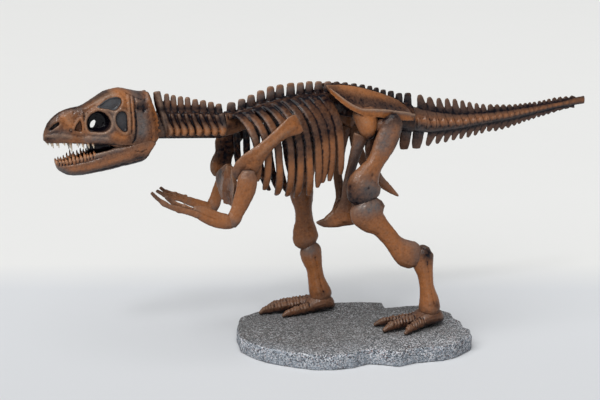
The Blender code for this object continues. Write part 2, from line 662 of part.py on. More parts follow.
def build_arms(material, grey, parent):
    for side, word in ((LEFT, "left"), (RIGHT, "right")):
        make_node("scapula_" + word, [scapula_shape(side)], material, parent)
        make_node("humerus_" + word, [bone(HUMERUS[side])], material, parent,
                  [scapula_shape(side, CLEAR)])
        make_node("forearm_" + word, [bone(FOREARM[side])], material, parent,
                  [bone(HUMERUS[side], grow=CLEAR)])
        make_node("hand_" + word, [bone(finger, sides=6) for finger in FINGERS[side]], material,
                  parent, [bone(FOREARM[side], grow=CLEAR)])
    cuts = [scapula_shape(side, CLEAR) for side in (LEFT, RIGHT)]
    cuts += [bone(HUMERUS[side], grow=CLEAR) for side in (LEFT, RIGHT)]
    make_node("chest_plate", [chest_plate()], grey, parent, cuts)


# ---------------------------------------------------------------- pelvis
# x, z of the upper edge, y and z of the flared rim, sag of the dish between them (left side)
ILIUM_SECTIONS = (
    (-0.086, 0.884, -0.062, 0.872, 0.002),
    (-0.066, 0.884, -0.084, 0.856, 0.006),
    (-0.030, 0.882, -0.104, 0.828, 0.012),
    (0.005, 0.877, -0.112, 0.809, 0.014),
    (0.050, 0.866, -0.114, 0.807, 0.014),
    (0.095, 0.852, -0.112, 0.805, 0.014),
    (0.140, 0.835, -0.106, 0.794, 0.012),
    (0.180, 0.814, -0.096, 0.778, 0.008),
    (0.208, 0.788, -0.084, 0.764, 0.004),
)
ILIUM_THICKNESS = 0.013
HIP_PILLAR = ((0.026, -0.078, 0.822, 0.092, 0.050), (0.029, -0.082, 0.795, 0.086, 0.056),
              (0.033, -0.085, 0.765, 0.076, 0.056), (0.038, -0.086, 0.735, 0.062, 0.052),
              (0.042, -0.086, 0.712, 0.034, 0.034))


def ilium_shape(side, grow=0.0):
    """Dished blade that leans out from the back bone, and the pillar down to the hip socket."""
    rings = []
    last = len(ILIUM_SECTIONS) - 1
    for index, (x, top, rim_y, rim_z, sag) in enumerate(ILIUM_SECTIONS):
        end = -grow if index == 0 else (grow if index == last else 0.0)
        inner_y = -0.0225
        upper = []
        lower = []
        for step in range(5):
            t = step / 4
            y = inner_y + (rim_y - inner_y) * t
            z = top + (rim_z - top) * t - sag * math.sin(math.pi * t)
            upper.append((y - (grow if step == 4 else 0.0), z + grow))
            lower.append((y - (grow if step == 4 else 0.0), z - ILIUM_THICKNESS - grow))
        outline = upper + list(reversed(lower))
        rings.append([Vector((x + end, y * -side, z)) for y, z in outline])
    return [loft(rings), bone(mirrored(HIP_PILLAR, side), sides=8, grow=grow)]


PUBIS_SHAFT = ((0.020, -0.078, 0.720, 0.062, 0.030), (0.009, -0.070, 0.682, 0.048, 0.026),
               (-0.004, -0.058, 0.620, 0.038, 0.024), (-0.015, -0.044, 0.556, 0.034, 0.024),
               (-0.010, -0.022, 0.490, 0.046, 0.026), (-0.011, -0.010, 0.440, 0.084, 0.026))
PUBIS_BOOT = ((-0.106, 0.0, 0.416, 0.012, 0.012), (-0.086, 0.0, 0.413, 0.030, 0.020),
              (-0.050, 0.0, 0.416, 0.050, 0.030), (-0.015, 0.0, 0.420, 0.056, 0.034),
              (0.020, 0.0, 0.416, 0.044, 0.030), (0.052, 0.0, 0.410, 0.020, 0.018))
ISCHIUM_SHAFT = ((0.063, -0.0773, 0.721, 0.054, 0.027), (0.0585, -0.0677, 0.6755, 0.048, 0.024),
                 (0.074, -0.048, 0.612, 0.038, 0.022), (0.104, -0.028, 0.558, 0.034, 0.022),
                 (0.140, -0.012, 0.523, 0.030, 0.018), (0.168, -0.004, 0.500, 0.020, 0.014),
                 (0.189, 0.0, 0.484, 0.007, 0.008))


def build_pelvis(material, grey, parent):
    cutters = []
    for side, word in ((LEFT, "left"), (RIGHT, "right")):
        make_node("ilium_" + word, ilium_shape(side), material, parent, [spine_side_cut()])
        cutters += ilium_shape(side, CLEAR)
    pubis = [bone(mirrored(PUBIS_SHAFT, side)) for side in (LEFT, RIGHT)] + [bone(PUBIS_BOOT)]
    make_node("pubis", pubis, grey, parent, cutters)
    cutters = ilium_shape(LEFT, CLEAR) + ilium_shape(RIGHT, CLEAR)
    cutters += [bone(mirrored(PUBIS_SHAFT, side), grow=CLEAR) for side in (LEFT, RIGHT)]
    ischium = [bone(mirrored(ISCHIUM_SHAFT, side)) for side in (LEFT, RIGHT)]
    make_node("ischium", ischium, grey, parent, cutters)





# ---------------------------------------------------------------- legs
FEMUR = {
    LEFT: ((0.121, -0.108, 0.784, 0.040, 0.040), (0.117, -0.108, 0.766, 0.072, 0.052),
           (0.107, -0.110, 0.733, 0.084, 0.054), (0.092, -0.112, 0.700, 0.086, 0.052),
           (0.071, -0.116, 0.663, 0.074, 0.048), (0.048, -0.120, 0.628, 0.066, 0.048),
           (0.028, -0.124, 0.598, 0.084, 0.056), (0.015, -0.128, 0.570, 0.112, 0.068),
           (0.012, -0.130, 0.544, 0.114, 0.070), (0.012, -0.130, 0.522, 0.100, 0.064),
           (0.013, -0.130, 0.508, 0.072, 0.050)),
    RIGHT: ((0.066, 0.106, 0.742, 0.040, 0.040), (0.052, 0.107, 0.728, 0.066, 0.050),
            (0.019, 0.114, 0.703, 0.072, 0.050), (-0.020, 0.124, 0.667, 0.062, 0.046),
            (-0.055, 0.132, 0.628, 0.062, 0.046), (-0.087, 0.137, 0.590, 0.074, 0.052),
            (-0.110, 0.138, 0.558, 0.096, 0.066), (-0.120, 0.138, 0.535, 0.088, 0.064),
            (-0.126, 0.137, 0.517, 0.056, 0.046)),
}
TIBIA = {
    LEFT: ((0.014, -0.131, 0.514, 0.078, 0.052), (0.017, -0.132, 0.498, 0.114, 0.068),
           (0.022, -0.134, 0.470, 0.134, 0.072), (0.034, -0.135, 0.448, 0.110, 0.066),
           (0.063, -0.136, 0.420, 0.074, 0.058), (0.087, -0.138, 0.394, 0.066, 0.050),
           (0.120, -0.140, 0.354, 0.067, 0.050), (0.141, -0.141, 0.335, 0.084, 0.056),
           (0.162, -0.142, 0.3210, 0.095, 0.060), (0.185, -0.142, 0.3125, 0.083, 0.058),
           (0.205, -0.142, 0.305, 0.056, 0.042)),
    RIGHT: ((-0.120, 0.131, 0.526, 0.056, 0.050), (-0.116, 0.132, 0.508, 0.086, 0.066),
            (-0.112, 0.133, 0.476, 0.086, 0.068), (-0.106, 0.135, 0.432, 0.066, 0.054),
             (-0.102, 0.137, 0.392, 0.070, 0.050), (-0.099, 0.139, 0.350, 0.094, 0.054),
            (-0.093, 0.140, 0.316, 0.096, 0.058), (-0.087, 0.140, 0.296, 0.062, 0.042)),
}
METATARSUS = {
    LEFT: ((0.226, -0.142, 0.336, 0.036, 0.040), (0.222, -0.142, 0.322, 0.068, 0.058),
           (0.220, -0.142, 0.290, 0.081, 0.060), (0.230, -0.142, 0.240, 0.058, 0.052),
           (0.238, -0.142, 0.190, 0.055, 0.052), (0.247, -0.141, 0.145, 0.073, 0.066),
           (0.250, -0.140, 0.116, 0.078, 0.072), (0.254, -0.139, 0.096, 0.056, 0.056)),
    RIGHT: ((-0.084, 0.140, 0.306, 0.046, 0.042), (-0.080, 0.140, 0.290, 0.076, 0.060),
            (-0.074, 0.141, 0.258, 0.080, 0.062), (-0.062, 0.142, 0.212, 0.062, 0.054),
            (-0.054, 0.143, 0.170, 0.066, 0.058), (-0.044, 0.144, 0.135, 0.080, 0.070),
            (-0.036, 0.145, 0.112, 0.084, 0.076), (-0.032, 0.145, 0.094, 0.060, 0.060)),
}
# instep pad, then inner, middle and outer toe
FOOT = {
    LEFT: (((0.302, -0.118, 0.070, 0.028, 0.040), (0.286, -0.122, 0.081, 0.052, 0.070),
            (0.256, -0.128, 0.090, 0.074, 0.090), (0.220, -0.134, 0.083, 0.060, 0.090),
            (0.194, -0.138, 0.073, 0.040, 0.070)),
           ((0.226, -0.112, 0.080, 0.046, 0.036), (0.184, -0.098, 0.075, 0.038, 0.030),
            (0.142, -0.090, 0.071, 0.034, 0.028), (0.104, -0.086, 0.069, 0.030, 0.024),
            (0.080, -0.084, 0.065, 0.022, 0.018), (0.062, -0.083, 0.059, 0.008, 0.008)),
           ((0.220, -0.136, 0.082, 0.048, 0.036), (0.180, -0.140, 0.079, 0.042, 0.032),
            (0.139, -0.144, 0.075, 0.038, 0.030), (0.104, -0.148, 0.071, 0.032, 0.026),
            (0.083, -0.151, 0.065, 0.024, 0.020), (0.066, -0.154, 0.059, 0.008, 0.008)),
           ((0.238, -0.148, 0.082, 0.046, 0.036), (0.208, -0.164, 0.077, 0.038, 0.030),
            (0.178, -0.178, 0.072, 0.034, 0.028), (0.153, -0.190, 0.068, 0.028, 0.022),
            (0.138, -0.198, 0.064, 0.020, 0.016), (0.126, -0.204, 0.059, 0.008, 0.008))),
    RIGHT: (((0.006, 0.148, 0.066, 0.026, 0.040), (-0.008, 0.148, 0.080, 0.052, 0.070),
             (-0.034, 0.150, 0.090, 0.074, 0.090), (-0.068, 0.154, 0.083, 0.060, 0.090),
             (-0.092, 0.156, 0.073, 0.040, 0.070)),
            ((-0.060, 0.134, 0.080, 0.046, 0.036), (-0.100, 0.127, 0.074, 0.038, 0.030),
             (-0.136, 0.123, 0.070, 0.034, 0.028), (-0.164, 0.120, 0.067, 0.028, 0.022),
             (-0.180, 0.118, 0.063, 0.020, 0.016), (-0.194, 0.117, 0.058, 0.008, 0.008)),
            ((-0.070, 0.158, 0.084, 0.050, 0.038), (-0.120, 0.164, 0.080, 0.044, 0.034),
             (-0.168, 0.168, 0.076, 0.040, 0.032), (-0.212, 0.171, 0.072, 0.034, 0.028),
             (-0.240, 0.172, 0.066, 0.026, 0.020), (-0.260, 0.172, 0.059, 0.008, 0.008)),
            ((-0.056, 0.174, 0.086, 0.048, 0.036), (-0.096, 0.190, 0.082, 0.040, 0.032),
             (-0.138, 0.200, 0.078, 0.038, 0.030), (-0.180, 0.206, 0.074, 0.032, 0.026),
             (-0.208, 0.208, 0.067, 0.022, 0.018), (-0.226, 0.209, 0.059, 0.008, 0.008))),
}
FEMUR_HEAD = {
    LEFT: ((0.064, -0.062, 0.752, 0.030, 0.030), (0.078, -0.082, 0.756, 0.040, 0.040),
           (0.100, -0.104, 0.757, 0.044, 0.044)),
    RIGHT: ((0.053, 0.080, 0.7365, 0.035, 0.035), (0.052, 0.089, 0.734, 0.042, 0.042),
            (0.050, 0.104, 0.730, 0.044, 0.044)),
}


def build_legs(material, parent):
    for side, word in ((LEFT, "left"), (RIGHT, "right")):
        socket = ilium_shape(side, CLEAR)
        cuts = socket + [bone(mirrored(PUBIS_SHAFT, side), grow=CLEAR),
                         bone(mirrored(ISCHIUM_SHAFT, side), grow=CLEAR)]
        make_node("femur_" + word, [bone(FEMUR[side]), bone(FEMUR_HEAD[side], lateral=(1, 0, 0))],
                  material, parent, cuts)
        make_node("tibia_" + word, [bone(TIBIA[side])], material, parent,
                  [bone(FEMUR[side], grow=CLEAR)])
        make_node("metatarsus_" + word, [bone(METATARSUS[side])], material, parent,
                  [bone(TIBIA[side], grow=CLEAR)])
        toes = [bone(row, sides=6) for row in FOOT[side]]
        ground = box((-0.5, -0.5, -0.1), (0.5, 0.5, SOLE))
        make_node("foot_" + word, toes, material, parent,
                  [bone(METATARSUS[side], grow=CLEAR), ground])


def main():
    clear_scene()
    brown = make_material("stained_bone", BONE_BROWN, 0.42)
    grey = make_material("shaded_bone", BONE_GREY, 0.45)
    dark = make_material("dark_bone", BONE_SHADOW, 0.45)
    stone = make_material("speckled_stone", STONE_GREY, 0.85)
    statue = bpy.data.objects.new("skeleton_statue", None)
    bpy.context.scene.collection.objects.link(statue)
    make_node("base", [base_shape()], stone, statue)
    build_skull(brown, statue)
    build_jaw(brown, statue)
    build_column(statue, brown, dark)
    build_ribs(LEFT, "ribs_left", brown, statue)
    build_ribs(RIGHT, "ribs_right", brown, statue)
    build_arms(brown, grey, statue)
    build_pelvis(brown, grey, statue)
    build_legs(brown, statue)


main()
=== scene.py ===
import math

import bpy
import numpy as np
from bpy.props import FloatProperty, FloatVectorProperty, IntProperty, PointerProperty
from mathutils import Matrix, Vector, noise


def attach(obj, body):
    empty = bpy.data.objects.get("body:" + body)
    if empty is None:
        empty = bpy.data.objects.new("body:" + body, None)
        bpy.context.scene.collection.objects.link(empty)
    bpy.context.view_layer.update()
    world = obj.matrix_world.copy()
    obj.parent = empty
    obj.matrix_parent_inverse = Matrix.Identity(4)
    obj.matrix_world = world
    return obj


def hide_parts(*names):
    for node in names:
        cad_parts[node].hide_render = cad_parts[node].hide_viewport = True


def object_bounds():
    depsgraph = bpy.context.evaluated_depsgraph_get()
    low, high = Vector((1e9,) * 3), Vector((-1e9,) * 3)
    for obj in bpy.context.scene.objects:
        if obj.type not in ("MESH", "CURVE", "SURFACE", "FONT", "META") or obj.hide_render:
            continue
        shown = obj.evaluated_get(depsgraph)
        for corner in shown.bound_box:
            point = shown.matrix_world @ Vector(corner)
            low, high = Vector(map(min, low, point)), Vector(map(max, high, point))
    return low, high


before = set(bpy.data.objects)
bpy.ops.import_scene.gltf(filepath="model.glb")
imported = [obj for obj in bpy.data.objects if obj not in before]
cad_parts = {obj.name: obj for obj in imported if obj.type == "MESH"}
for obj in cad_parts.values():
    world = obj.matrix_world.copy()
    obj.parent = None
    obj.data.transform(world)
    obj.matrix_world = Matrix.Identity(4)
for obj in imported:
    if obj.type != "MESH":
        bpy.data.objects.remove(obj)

bl_info = {"name": "Cast Dinosaur Skeleton Statue", "version": (1, 0, 0), "blender": (4, 5, 0),
    "location": "View3D > Sidebar > Statue",
    "description": "Builds a cast dinosaur skeleton statue on its stone-look base",
    "category": "Object"}

CAD_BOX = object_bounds()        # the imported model's lowest and highest corners
LEFT = -1                    # the animal's left side lies at -Y
RIGHT = 1

# paint layers, one channel each in the "paint" attribute of a mesh
ORANGE = 0                   # warm stain
DARK_WASH_AND_SHADE = 1                     # blue-black wash in hollows and round joints, with painted shade in the hollows, under things and on sides turned from the light
SMOKE = 2                    # cool grey airbrush
WORN_AND_HIGHLIGHT = 3                     # pale rubbed edges, and painted highlights on sides facing the light
SHADE_SPARED_SIDE = np.array((-0.34, -0.36, 0.87))  # the side facing the light, which the painted shade spares
PAINTED_HIGHLIGHT_SIDE = np.array((-0.33, -0.66, 0.67))  # the side facing the light, given a pale painted highlight

HAND_GRAIN = 0.0017          # mesh spacing on the hands
CHEST_GRAIN = 0.0018         # on the chest plate
FOOT_GRAIN = 0.0018          # and on the feet
BOX_MARGIN = 0.0001          # how far every piece stays inside the solid's box
FINE_HOLLOW = 0.0005         # depths at which the wash and the wear are at their full
BROAD_HOLLOW = 0.0022
BROAD_RIDGE = 0.003
ROUND_FIT = 0.935            # a round ring that matches the eight-sided one of the solid
FINGER_FIT = 0.9             # the same for six-sided rings


# ---------------------------------------------------------------- sizes and colours to change
class StatueSizes(bpy.types.PropertyGroup):
    head_grain: FloatProperty(name="Head grain",
        description="Mesh spacing on the skull and lower jaw", default=0.0017, min=0.001, max=0.01,
        unit="LENGTH")
    bone_grain: FloatProperty(name="Bone grain", description="Mesh spacing on the other bones",
        default=0.0021, min=0.001, max=0.01, unit="LENGTH")
    base_grain: FloatProperty(name="Base grain", description="Mesh spacing on the stone-look base",
        default=0.0038, min=0.002, max=0.02, unit="LENGTH")
    ring_step: FloatProperty(name="Ring step",
        description="Distance between the rings that a bone is drawn with", default=0.006,
        min=0.002, max=0.03, unit="LENGTH")
    ring_sides: IntProperty(name="Ring sides",
        description="Corners of each ring that a bone is drawn with", default=18, min=8, max=48)
    bone_pitting: FloatProperty(name="Bone pitting",
        description="Height of the uneven cast surface of the bones", default=0.0007, min=0.0,
        max=0.005, unit="LENGTH")
    stone_relief: FloatProperty(name="Stone relief",
        description="Height of the ripples on top of the base", default=0.0022, min=0.0, max=0.01,
        unit="LENGTH")


class StatueFinish(bpy.types.PropertyGroup):
    bone_brown: FloatVectorProperty(name="Bone brown", description="Ground colour of the bones",
        subtype="COLOR", size=3, default=(0.098, 0.038, 0.017), min=0.0, max=1.0)
    stain_orange: FloatVectorProperty(name="Stain orange",
        description="Warm stain over the middle of each bone", subtype="COLOR", size=3,
        default=(0.4, 0.13, 0.026), min=0.0, max=1.0)
    smoke_grey: FloatVectorProperty(name="Smoke grey", description="Cool airbrush near the joints",
        subtype="COLOR", size=3, default=(0.1, 0.105, 0.114), min=0.0, max=1.0)
    # dark wash at the joints, and painted shade in hollows and on the sides turned from the light
    shade_and_wash_black: FloatVectorProperty(name="Blue black", description="Dark wash in the hollows",
        subtype="COLOR", size=3, default=(0.004, 0.003, 0.006), min=0.0, max=1.0)
    # pale rubbed ridges and rims, and painted highlights
    worn_edge_and_highlight: FloatVectorProperty(name="Worn edge", description="Pale rubbed ridges and rims",
        subtype="COLOR", size=3, default=(0.33, 0.21, 0.14), min=0.0, max=1.0)
    tooth_ivory: FloatVectorProperty(name="Tooth ivory", description="Tips of the teeth",
        subtype="COLOR", size=3, default=(0.7, 0.61, 0.47), min=0.0, max=1.0)
    stone_blue: FloatVectorProperty(name="Stone blue grey", description="Walls of the base",
        subtype="COLOR", size=3, default=(0.262, 0.296, 0.34), min=0.0, max=1.0)
    stone_brown: FloatVectorProperty(name="Stone brown grey", description="Top of the base",
        subtype="COLOR", size=3, default=(0.15, 0.15, 0.15), min=0.0, max=1.0)
    varnish: FloatProperty(name="Varnish roughness", description="Lower is glossier", default=0.36,
        min=0.05, max=1.0, subtype="FACTOR")


class StudioSettings(bpy.types.PropertyGroup):
    camera_distance: FloatProperty(name="Camera distance",
        description="Level distance from the aim point to the camera", default=4.464, min=1.0,
        max=20.0, unit="LENGTH")
    camera_height: FloatProperty(name="Camera height",
        description="Height of the camera above the floor", default=1.581, min=0.1, max=5.0,
        unit="LENGTH")
    camera_turn: FloatProperty(name="Camera turn",
        description="How far the camera stands round from the side view",
        default=math.radians(-20.0), subtype="ANGLE", unit="ROTATION")
    aim: FloatVectorProperty(name="Aim point",
        description="Point in the middle of the camera's view", default=(-0.186, -0.051, 0.5115),
        size=3, subtype="XYZ", unit="LENGTH")
    lens: FloatProperty(name="Lens",
        description="Focal length on a 36 mm wide sensor, in millimetres", default=83.82, min=10.0,
        max=300.0)
    key_softness: FloatProperty(name="Key softness",
        description="How wide the main light looks from the statue", default=math.radians(65.0),
        subtype="ANGLE", unit="ROTATION")
    key_strength: FloatProperty(name="Key strength", description="Strength of the main light",
        default=2.5, min=0.0, max=20.0)
    floor_shade: FloatVectorProperty(name="Floor shade", description="Colour of the studio floor",
        subtype="COLOR", size=3, default=(0.724, 0.743, 0.772), min=0.0, max=1.0)
    # painted light: there is no wall; the far part of the floor is painted in this lighter colour,
    # as a lit wall would look
    far_floor_painted_light: FloatVectorProperty(name="Wall shade", description="Colour of the studio wall",
        subtype="COLOR", size=3, default=(0.845, 0.85, 0.845), min=0.0, max=1.0)


# ---------------------------------------------------------------- drawing helpers
def metres(table):
    """A table of millimetres in metres: one number, rows of numbers, or a table for each side."""
    if isinstance(table, dict):
        return {key: metres(rows) for key, rows in table.items()}
    if isinstance(table, tuple):
        return tuple(metres(row) for row in table)
    return round(table / 1000, 6)


def coats(table):
    """Sprays of (layer, strength, radius, line), or a table for each side; the radius and the
    line are in millimetres."""
    if isinstance(table, dict):
        return {key: coats(rows) for key, rows in table.items()}
    return [(layer, strength, metres(radius), metres(line))
        for layer, strength, radius, line in table]


def openings(table):
    """Named openings of (depth, share, outline), with the lengths in millimetres."""
    return {name: (metres(depth), share, metres(outline))
        for name, (depth, share, outline) in table.items()}


def sizes():
    return bpy.context.scene.statue_sizes


def finish():
    return bpy.context.scene.statue_finish


def put_down():
    """Leave edit mode and select nothing."""
    if bpy.context.object is not None and bpy.context.object.mode != "OBJECT":
        bpy.ops.object.mode_set(mode="OBJECT")
    bpy.ops.object.select_all(action="DESELECT")


def pick(things):
    """Select only these objects; the first one is active."""
    put_down()
    for thing in things:
        thing.select_set(True)
    bpy.context.view_layer.objects.active = things[0]


def between(table, x):
    """Straight-line values at x from rows of (x, value, ...)."""
    rows = np.array(table, float)
    return [float(np.interp(x, rows[:, 0], rows[:, column])) for column in range(1, rows.shape[1])]


def midpoints(table):
    """Places halfway between the rows of a table."""
    return [(first[0] + second[0]) / 2 for first, second in zip(table, table[1:])]


def curve_through(rows, place, runs, wanted, first, last):
    """Rows at the wanted places on a smooth curve through the given rows."""
    slope = np.gradient(rows, place, axis=0)
    low = np.clip(np.searchsorted(place, wanted, side="right") - 1, first, last)
    run = runs[low][:, None]
    t = ((wanted - place[low]) / runs[low])[:, None]
    return ((2 * t ** 3 - 3 * t ** 2 + 1) * rows[low]
        + (t ** 3 - 2 * t ** 2 + t) * run * slope[low] + (3 * t ** 2 - 2 * t ** 3) * rows[low + 1]
        + (t ** 3 - t ** 2) * run * slope[low + 1])


def finer(rows, step):
    """The same row table with smoothly curved rows added, about one a step along its path."""
    rows = np.array(rows, float)
    runs = np.linalg.norm(np.diff(rows[:, :3], axis=0), axis=1)
    place = np.concatenate(([0.0], np.cumsum(runs)))
    count = max(int(math.ceil(place[-1] / step)), len(rows) * 2)
    wanted = np.union1d(np.linspace(0.0, place[-1], count), place)
    wanted = wanted[np.concatenate(([True], np.diff(wanted) > step * 0.2))]
    return curve_through(rows, place, runs, wanted, 0, len(runs) - 1)


def closed_curve(points, count):
    """Evenly spaced points on a smooth closed line through the given ones."""
    points = np.array(points, float)
    looped = np.vstack((points[-2:], points, points[:3]))
    runs = np.maximum(np.linalg.norm(np.diff(looped, axis=0), axis=1), 1e-9) ** 0.5
    place = np.concatenate(([0.0], np.cumsum(runs)))
    first, last = 2, 2 + len(points)
    wanted = np.linspace(place[first], place[last], count, endpoint=False)
    return curve_through(looped, place, runs, wanted, first, last - 1)


def unit(vector):
    return vector / max(np.linalg.norm(vector), 1e-9)


def domed(rows, dome):
    """Add three shrinking rings past each end, so that the end is rounded."""
    out = [row for row in rows]
    for end, inner in ((0, 1), (-1, -2)):
        tip = rows[end]
        ahead = unit(tip[:3] - rows[inner][:3])
        reach = dome * min(tip[3], tip[4]) / 2
        caps = []
        for turn in (30, 55, 76):
            cap = tip.copy()
            cap[:3] += ahead * reach * math.sin(math.radians(turn))
            cap[3:5] *= math.cos(math.radians(turn))
            caps.append(cap)
        out = caps[::-1] + out if end == 0 else out + caps
    return np.array(out)


def close_rings(piece, rings, sides):
    """Bridge the rings of the mesh in edit mode into a skin, cap both ends, and stop if the
    bridge left out a ring."""
    for work, setting in ((bpy.ops.mesh.bridge_edge_loops, {}),
            (bpy.ops.mesh.fill_holes, {"sides": 0}), (bpy.ops.mesh.normals_make_consistent,
            {"inside": False})):
        bpy.ops.mesh.select_all(action="SELECT")
        work(**setting)
    bpy.ops.object.mode_set(mode="OBJECT")
    if len(piece.data.polygons) != (rings - 1) * sides + 2:
        raise RuntimeError("%s: its rings did not bridge into one skin" % piece.name)


def draw_bone(name, rows, lateral=(0.0, 1.0, 0.0), fit=ROUND_FIT, dome=0.35, sides=None,
        step=None):
    """Draw a closed bone ring by ring.  A row is (x, y, z, breadth, depth): breadth lies across
    the path in side view, and depth along the lateral direction, which may differ by row."""
    put_down()
    sides = sides or sizes().ring_sides
    rows = np.array(rows, float)
    if np.ndim(lateral) == 1:
        lateral = np.tile(np.array(lateral, float), (len(rows), 1))
    rows = domed(finer(np.hstack((rows[:, :5], lateral)), step or sizes().ring_step), dome)
    last = len(rows) - 1
    for index, row in enumerate(rows):
        centre = Vector(row[:3])
        ahead = Vector(unit(rows[min(index + 1, last)][:3] - rows[max(index - 1, 0)][:3]))
        side = Vector(row[5:8])
        side = (side - ahead * side.dot(ahead)).normalized()
        turn = Matrix((side.cross(ahead), side, ahead)).transposed()
        bpy.ops.mesh.primitive_circle_add(vertices=sides, radius=1.0, fill_type="NOTHING",
            location=centre, rotation=turn.to_euler())
        if index == 0:
            piece = bpy.context.object
            piece.name = name
            bpy.ops.object.transform_apply(location=True, rotation=True, scale=True)
            bpy.ops.object.mode_set(mode="EDIT")
            bpy.ops.mesh.select_all(action="SELECT")
        bpy.ops.transform.resize(value=(row[3] / 2 * fit, row[4] / 2 * fit, 1.0),
            orient_type="LOCAL", orient_matrix=turn, orient_matrix_type="LOCAL",
            center_override=centre)
    close_rings(piece, len(rows), sides)
    return piece


def draw_sections(name, rings):
    """Draw a closed form through shaped sections: a circle is added for each, its corners are
    moved onto the section, and the sections are bridged."""
    put_down()
    sides = len(rings[0])
    for index in range(len(rings)):
        bpy.ops.mesh.primitive_circle_add(vertices=sides, radius=0.01, fill_type="NOTHING")
        if index == 0:
            piece = bpy.context.object
            piece.name = name
            bpy.ops.object.mode_set(mode="EDIT")
    bpy.ops.object.mode_set(mode="OBJECT")
    piece.data.vertices.foreach_set("co", np.array(rings, float).ravel())
    piece.data.update()
    bpy.ops.object.mode_set(mode="EDIT")
    close_rings(piece, len(rings), sides)
    return piece


def join(name, parts):
    pick(parts)
    if len(parts) > 1:
        bpy.ops.object.join()
    parts[0].name = name
    return parts[0]


def alter(piece, kind, **settings):
    """Give the piece one modifier with these settings and apply it."""
    pick([piece])
    step = piece.modifiers.new(kind.lower(), kind)
    for key, value in settings.items():
        setattr(step, key, value)
    bpy.ops.object.modifier_apply(modifier=step.name)


def carve(piece, cutters):
    """Cut the closed cutters out of the piece."""
    tool = join("cutter", cutters)
    alter(piece, "BOOLEAN", operation="DIFFERENCE", solver="EXACT", object=tool)
    bpy.data.objects.remove(tool)


def cast(name, parts, grain, rounds):
    """Join the parts, melt them into one even skin, and soften it."""
    piece = join(name, parts)
    alter(piece, "REMESH", mode="VOXEL", voxel_size=grain)
    alter(piece, "SMOOTH", factor=0.5, iterations=rounds)
    return piece


def copy_part(master, place, size, lean=0.0):
    """A copy with its own mesh, set at its place, size and lean in side view."""
    pick([master])
    bpy.ops.object.duplicate(linked=False)
    part = bpy.context.object
    part.location = place
    part.scale = size
    part.rotation_euler = (0.0, lean, 0.0)
    bpy.ops.object.transform_apply(location=True, rotation=True, scale=True)
    return part


# ---------------------------------------------------------------- shaping and painting helpers
def points_of(piece):
    spots = np.empty(len(piece.data.vertices) * 3)
    piece.data.vertices.foreach_get("co", spots)
    return spots.reshape(-1, 3)


def normals_of(piece):
    ways = np.empty(len(piece.data.vertices) * 3, np.float32)
    piece.data.vertex_normals.foreach_get("vector", ways)
    return ways.reshape(-1, 3).astype(float)


def move_points(piece, spots):
    piece.data.vertices.foreach_set("co", spots.ravel())
    piece.data.update()


def keep_between(piece, front, rear):
    """Press what reaches past either end back to it."""
    spots = points_of(piece)
    spots[:, 0] = np.clip(spots[:, 0], front, rear)
    move_points(piece, spots)


def paint_of(piece):
    layers = np.empty(len(piece.data.vertices) * 4, np.float32)
    piece.data.attributes["paint"].data.foreach_get("color", layers)
    return layers.reshape(-1, 4)


def set_paint(piece, layers):
    attributes = piece.data.attributes
    coat = attributes.get("paint") or attributes.new("paint", "FLOAT_COLOR", "POINT")
    coat.data.foreach_set("color", layers.astype(np.float32).ravel())


def distance_to_line(spots, line):
    """Distance of each spot from a line of points; a line of one point is that point."""
    line = np.array(line, float)
    if len(line) == 1:
        return np.linalg.norm(spots - line[0], axis=1)
    best = np.full(len(spots), 1e9)
    for start, end in zip(line, line[1:]):
        run = end - start
        share = np.clip(((spots - start) @ run) / max(run @ run, 1e-12), 0.0, 1.0)
        best = np.minimum(best, np.linalg.norm(spots - start - share[:, None] * run, axis=1))
    return best


def ridge(piece, strokes, flat=True):
    """Raise (height over 0) or press in the surface along lines of (height, width, line),
    seen flat from the side or in space."""
    spots = points_of(piece)
    ways = normals_of(piece)
    seen = spots[:, (0, 2)] if flat else spots
    lift = np.zeros(len(spots))
    for height, width, line in strokes:
        lift += height * np.exp(-(distance_to_line(seen, line) / width) ** 2)
    if flat:
        lift *= np.clip(np.abs(ways[:, 1]) * 1.6, 0.0, 1.0)
    move_points(piece, spots + ways * lift[:, None])


def roughen(piece, height, size, seed=0.0):
    """Uneven cast surface: soft noise of the given height and lump size, along the normals."""
    spots = points_of(piece)
    ways = normals_of(piece)
    scaled = spots / size + seed
    lift = np.array([noise.noise(Vector(spot)) + 0.5 * noise.noise(Vector(spot * 2.3 + 7.0))
        for spot in scaled])
    move_points(piece, spots + ways * (lift * height)[:, None])


def neighbour_mean(values, edges, count):
    out = np.empty_like(values)
    for column in range(values.shape[1]):
        out[:, column] = (np.bincount(edges[:, 0], values[edges[:, 1], column], count)
            + np.bincount(edges[:, 1], values[edges[:, 0], column], count))
    links = np.bincount(edges.ravel(), minlength=count)
    return out / np.maximum(links, 1)[:, None]


def hollows(piece, rounds):
    """How far each point lies below (over 0) or above (under 0) its softened surroundings."""
    spots = points_of(piece)
    edges = np.empty(len(piece.data.edges) * 2, np.int32)
    piece.data.edges.foreach_get("vertices", edges)
    edges = edges.reshape(-1, 2)
    soft = spots.copy()
    for _ in range(rounds):
        soft = 0.3 * soft + 0.7 * neighbour_mean(soft, edges, len(spots))
    return np.einsum("ij,ij->i", soft - spots, normals_of(piece))


